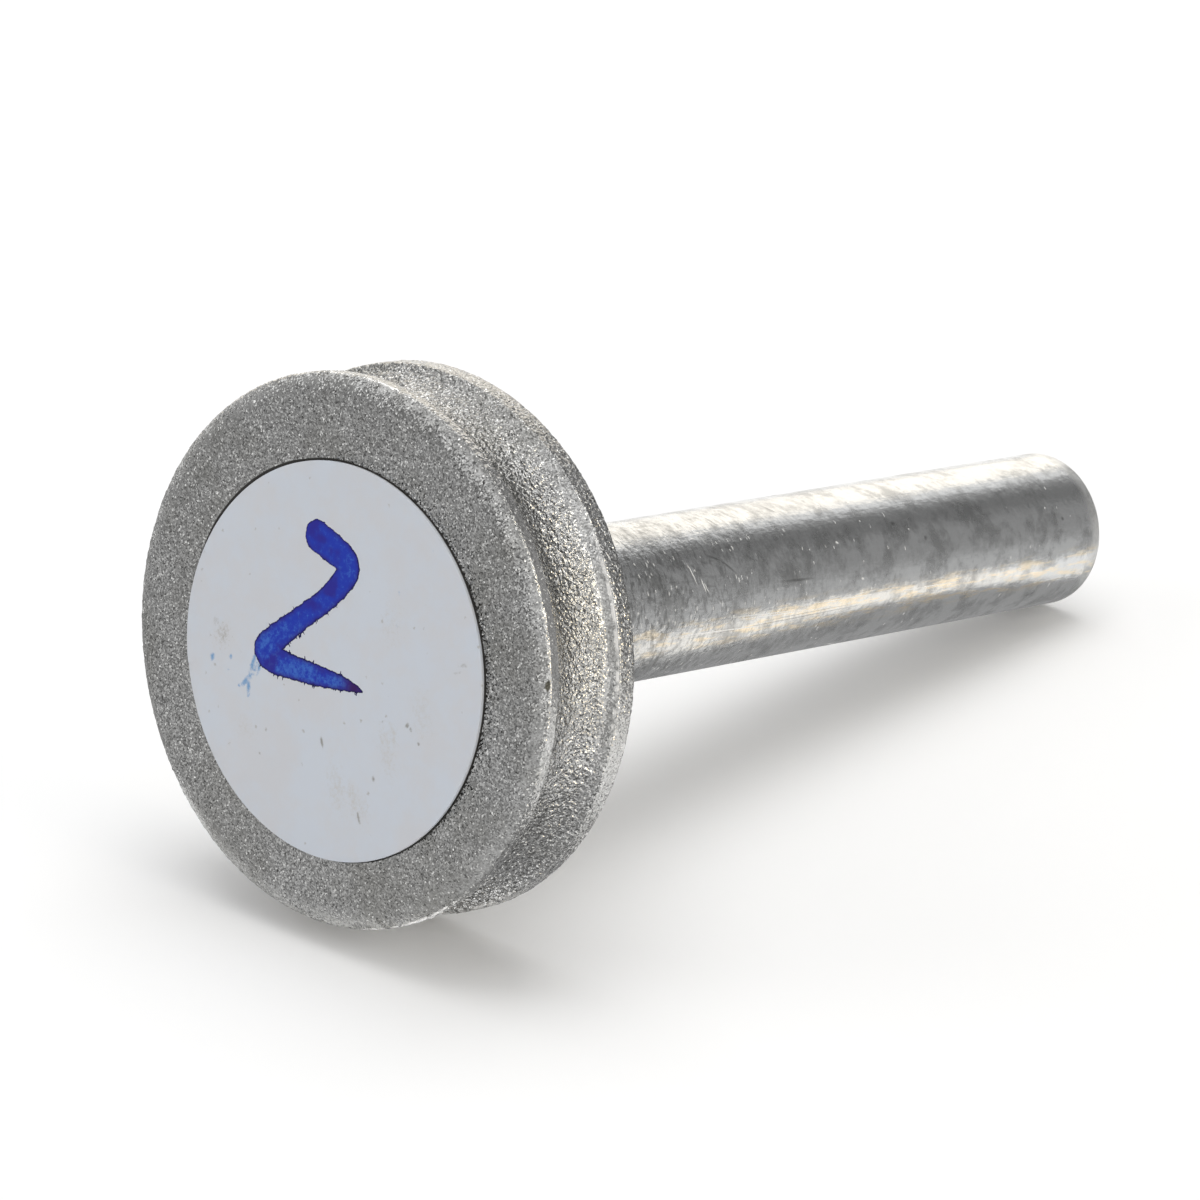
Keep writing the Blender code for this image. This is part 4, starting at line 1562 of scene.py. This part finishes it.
@dataclass
class Studio:
    """A pale floor, a white surround, soft lamps, and cards that give the metal its bands of light."""

    floor_size: float = 3.0
    floor_white: str = "#f7f7f7"
    floor_lift: tuple[float, float] = (0.07, 0.535)
    ambient: float = 0.50
    lamps: tuple[Softbox, ...] = (
        Softbox("overhead_softbox", (-0.10, 0.12, 0.75), 0.70, 3.4, mirrored=False),
        Softbox("front_fill", (-0.50, -0.45, 0.40), 0.50, 0.9, mirrored=False),
        Softbox("right_softbox", (0.57, 0.02, 0.15), 0.15, 0.46, colour="#fff0d2"),
    )
    cards: tuple[Card, ...] = (
        Card("wall_behind_right", 0.29, wall(34.0, 68.0, 1.05)),
        Card("wall_behind", 0.175, wall(68.0, 88.0, 1.05)),
        Card("wall_behind_fade", 0.28, wall(88.0, 96.5, 1.05)),
        Card("backlight_fade", 0.86, wall(96.5, 108.0, 0.95)),
        Card("wall_behind_low", 0.36, wall(96.5, 109.0, 0.19, distance=0.88)),
        Card("backlight", 1.50, wall(108.0, 165.0, 0.72), tint="#fff9ef"),
        Card("wall_left", 0.50, wall(165.0, 205.0, 0.6)),
        Card("wall_front_left", 0.38, wall(205.0, 248.0, 0.6)),
        Card("wall_front_gap", 0.16, wall(248.0, 261.0, 0.6)),
        Card("wall_front_right", 0.67, wall(261.0, 318.0, 0.6)),
        Card("ceiling", 0.54, overhead(1.15, (45.0, 52.0), (135.0, 52.0), (225.0, 52.0), (315.0, 52.0))),
        Card("ceiling_behind", 0.20, overhead(1.10, (34.0, 42.0), (104.0, 42.0), (104.0, 68.0), (34.0, 68.0))),
        Card("strip_light_left", 4.5, strip(0.70, 0.055, (152.0, 36.0), (118.0, 68.0))),
        Card("strip_light_above", 2.0, strip(0.70, 0.055, (118.0, 69.0), (8.0, 68.0))),
        Card("strip_light_right", 6.0, strip(0.70, 0.055, (-12.0, 54.0), (-6.0, 28.0)), tint="#fffbf2"),
        Card("yellow_glint", 5.0, strip(0.60, 0.04, (3.0, 17.0), (0.0, 3.0)), tint="#ffd98c"),
        Card("floor_right_near", 0.49, ground(2, (12.5, 0.0), (44.6, 6.3), (38.6, 46.0), (3.5, 31.0),
                                              (8.6, 20.0), (10.8, 14.0), (11.4, 9.0))),
        Card("floor_right", 0.36, ground(1, (44.6, 6.3), (1160.0, 310.0), (146.0, 1390.0), (3.5, 31.0),
                                         (38.6, 46.0))),
        Card("floor_left", 0.42, ground(1, (-13.0, -22.0), (-13.0, -6.0), (-40.0, 20.0), (-90.0, 70.0),
                                        (-90.0, -40.0))),
        Card("floor_front_near", 0.56, ground(2, (-70.0, -60.0), (60.0, -60.0), (21.0, -22.1), (-20.6, -22.5))),
        Card("floor_front", 0.44, ground(1, (-883.0, -172.0), (-919.0, -919.0), (919.0, -919.0),
                                         (21.0, -21.7), (-20.6, -22.1))),
        Card("floor_by_head", 0.36, ground(1, (5.4, -21.8), (20.5, -21.9), (14.1, -12.7), (6.1, -12.6))),
        Card("floor_far_behind", 0.36, ground(1, (-75.0, 85.0), (5.0, 62.0), (12.0, 120.0), (-10.0, 600.0),
                                              (-330.0, 600.0))),
        Card("floor_below_crest", 2.00, ground(2, (1.6, -20.4), (6.8, -20.4), (6.4, -18.7), (2.0, -18.6))),
        Card("floor_under_shank", 0.34, ground(1, (-11.1, -10.0), (4.0, -12.6), (4.4, 3.0), (6.0, 10.0),
                                               (5.8, 15.0), (3.6, 20.0), (2.5, 28.8), (-5.0, 28.6))),
        Card("floor_glint", 1.25, ground(3, (5.9, -5.0), (7.4, -4.0), (7.9, 2.0), (9.9, 9.0), (10.2, 15.0),
                                         (8.0, 19.8), (4.6, 20.4), (5.9, 16.0), (6.6, 10.5), (5.4, 3.0)),
             tint="#fffaf2"),
    )

    def build(self) -> None:
        """Make the floor, the surround, the lamps and the cards."""
        self.build_floor()
        self.build_world()
        for lamp in self.lamps:
            self.build_lamp(lamp)
        for card in self.cards:
            self.build_card(card)

    def build_floor(self) -> None:
        """Lay a matt white floor just under the bit, faintly lit so that it stays white out of the lamps."""
        mesh = bpy.data.meshes.new("studio_floor")
        half = self.floor_size
        level = -0.02 * MM
        mesh.from_pydata([(-half, -half, level), (half, -half, level), (half, half, level), (-half, half, level)],
                         [], [(0, 1, 2, 3)])
        floor = bpy.data.objects.new("studio_floor", mesh)
        bpy.context.scene.collection.objects.link(floor)
        material, tree = new_material("matt_white_board")
        place = add_node(tree, "ShaderNodeTexCoord").outputs["Object"]
        away = add_node(tree, "ShaderNodeVectorMath", {"operation": "LENGTH"}, {0: place}).outputs["Value"]
        lift = add_node(tree, "ShaderNodeMapRange", {"interpolation_type": "SMOOTHSTEP"}, {
            "Value": away, "From Min": 0.2, "From Max": 1.3, "To Min": self.floor_lift[0],
            "To Max": self.floor_lift[1]}).outputs["Result"]
        shader = add_node(tree, "ShaderNodeBsdfPrincipled", inputs={
            "Base Color": srgb(self.floor_white), "Roughness": 0.9, "Specular IOR Level": 0.0,
            "Emission Color": (1.0, 1.0, 1.0, 1.0), "Emission Strength": lift})
        finish_tree(tree, shader.outputs["BSDF"])
        mesh.materials.append(material)

    def build_world(self) -> None:
        """Surround the set with white, which lights matt surfaces at a plainer level."""
        world = bpy.data.worlds.new("white_surround")
        bpy.context.scene.world = world
        world.use_nodes = True
        tree = world.node_tree
        tree.nodes.clear()
        path = add_node(tree, "ShaderNodeLightPath")
        seen = add_node(tree, "ShaderNodeMath", {"operation": "MAXIMUM"}, {
            0: path.outputs["Is Camera Ray"], 1: path.outputs["Is Glossy Ray"]})
        seen = add_node(tree, "ShaderNodeMath", {"operation": "MAXIMUM"}, {
            0: seen.outputs[0], 1: path.outputs["Is Transmission Ray"]})
        strength = add_node(tree, "ShaderNodeMapRange", inputs={
            "Value": seen.outputs[0], "To Min": self.ambient, "To Max": 1.0})
        white = add_node(tree, "ShaderNodeBackground", inputs={
            "Color": (1.0, 1.0, 1.0, 1.0), "Strength": strength.outputs["Result"]})
        add_node(tree, "ShaderNodeOutputWorld", inputs={"Surface": white.outputs[0]})

    def build_lamp(self, lamp: Softbox) -> None:
        """Hang a softbox that looks at the bit and that the camera doesn't see."""
        data = bpy.data.lights.new(lamp.name, "AREA")
        data.size = lamp.size
        data.energy = lamp.power
        data.color = srgb(lamp.colour)[:3]
        box = bpy.data.objects.new(lamp.name, data)
        box.location = lamp.place
        box.rotation_euler = Vector(lamp.place).to_track_quat("Z", "Y").to_euler()
        box.visible_camera = False
        box.visible_glossy = lamp.mirrored
        bpy.context.scene.collection.objects.link(box)

    def build_card(self, card: Card) -> None:
        """Put up a card, which only reflections see."""
        mesh = bpy.data.meshes.new(card.name)
        mesh.from_pydata(card.corners, [], [tuple(range(len(card.corners)))])
        piece = bpy.data.objects.new(card.name, mesh)
        bpy.context.scene.collection.objects.link(piece)
        material, tree = new_material(card.name + "_card")
        glow = add_node(tree, "ShaderNodeEmission", inputs={"Color": srgb(card.tint), "Strength": card.grey})
        finish_tree(tree, glow.outputs[0])
        mesh.materials.append(material)
        piece.visible_camera = False
        piece.visible_diffuse = False
        piece.visible_shadow = False


def main() -> None:
    """Build the bit piece by piece, and then the studio round it."""
    logging.basicConfig(level=logging.INFO, format="%(name)s: %(message)s")
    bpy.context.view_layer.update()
    bpy.context.scene.view_settings.view_transform = "Standard"

    axis = LyingAxis.from_record(frame["record"])
    body = TurnedBody(axis)
    label = PaperLabel(axis, body.total_length)
    numeral = MarkerNumeral(label)
    steel = GroundSteel(axis, body.shank_length, body.shank_diameter).build()
    built = [
        body.build(GritNickel(axis, body.lips()).build(), steel),
        label.build(CoatedPaper().build()),
        label.build_edge_shadow(LabelEdgeShadow().build()),
        # A ring of painted shadow round the label
        numeral.build(MarkerInk().build()),
    ]
    for piece in built:
        LOG.info("%s: %d faces", piece.name, len(piece.data.polygons))

    PhotoCamera().build(axis.matrix(body.total_length).translation)
    Studio().build()


if __name__ == "__main__":
    main()
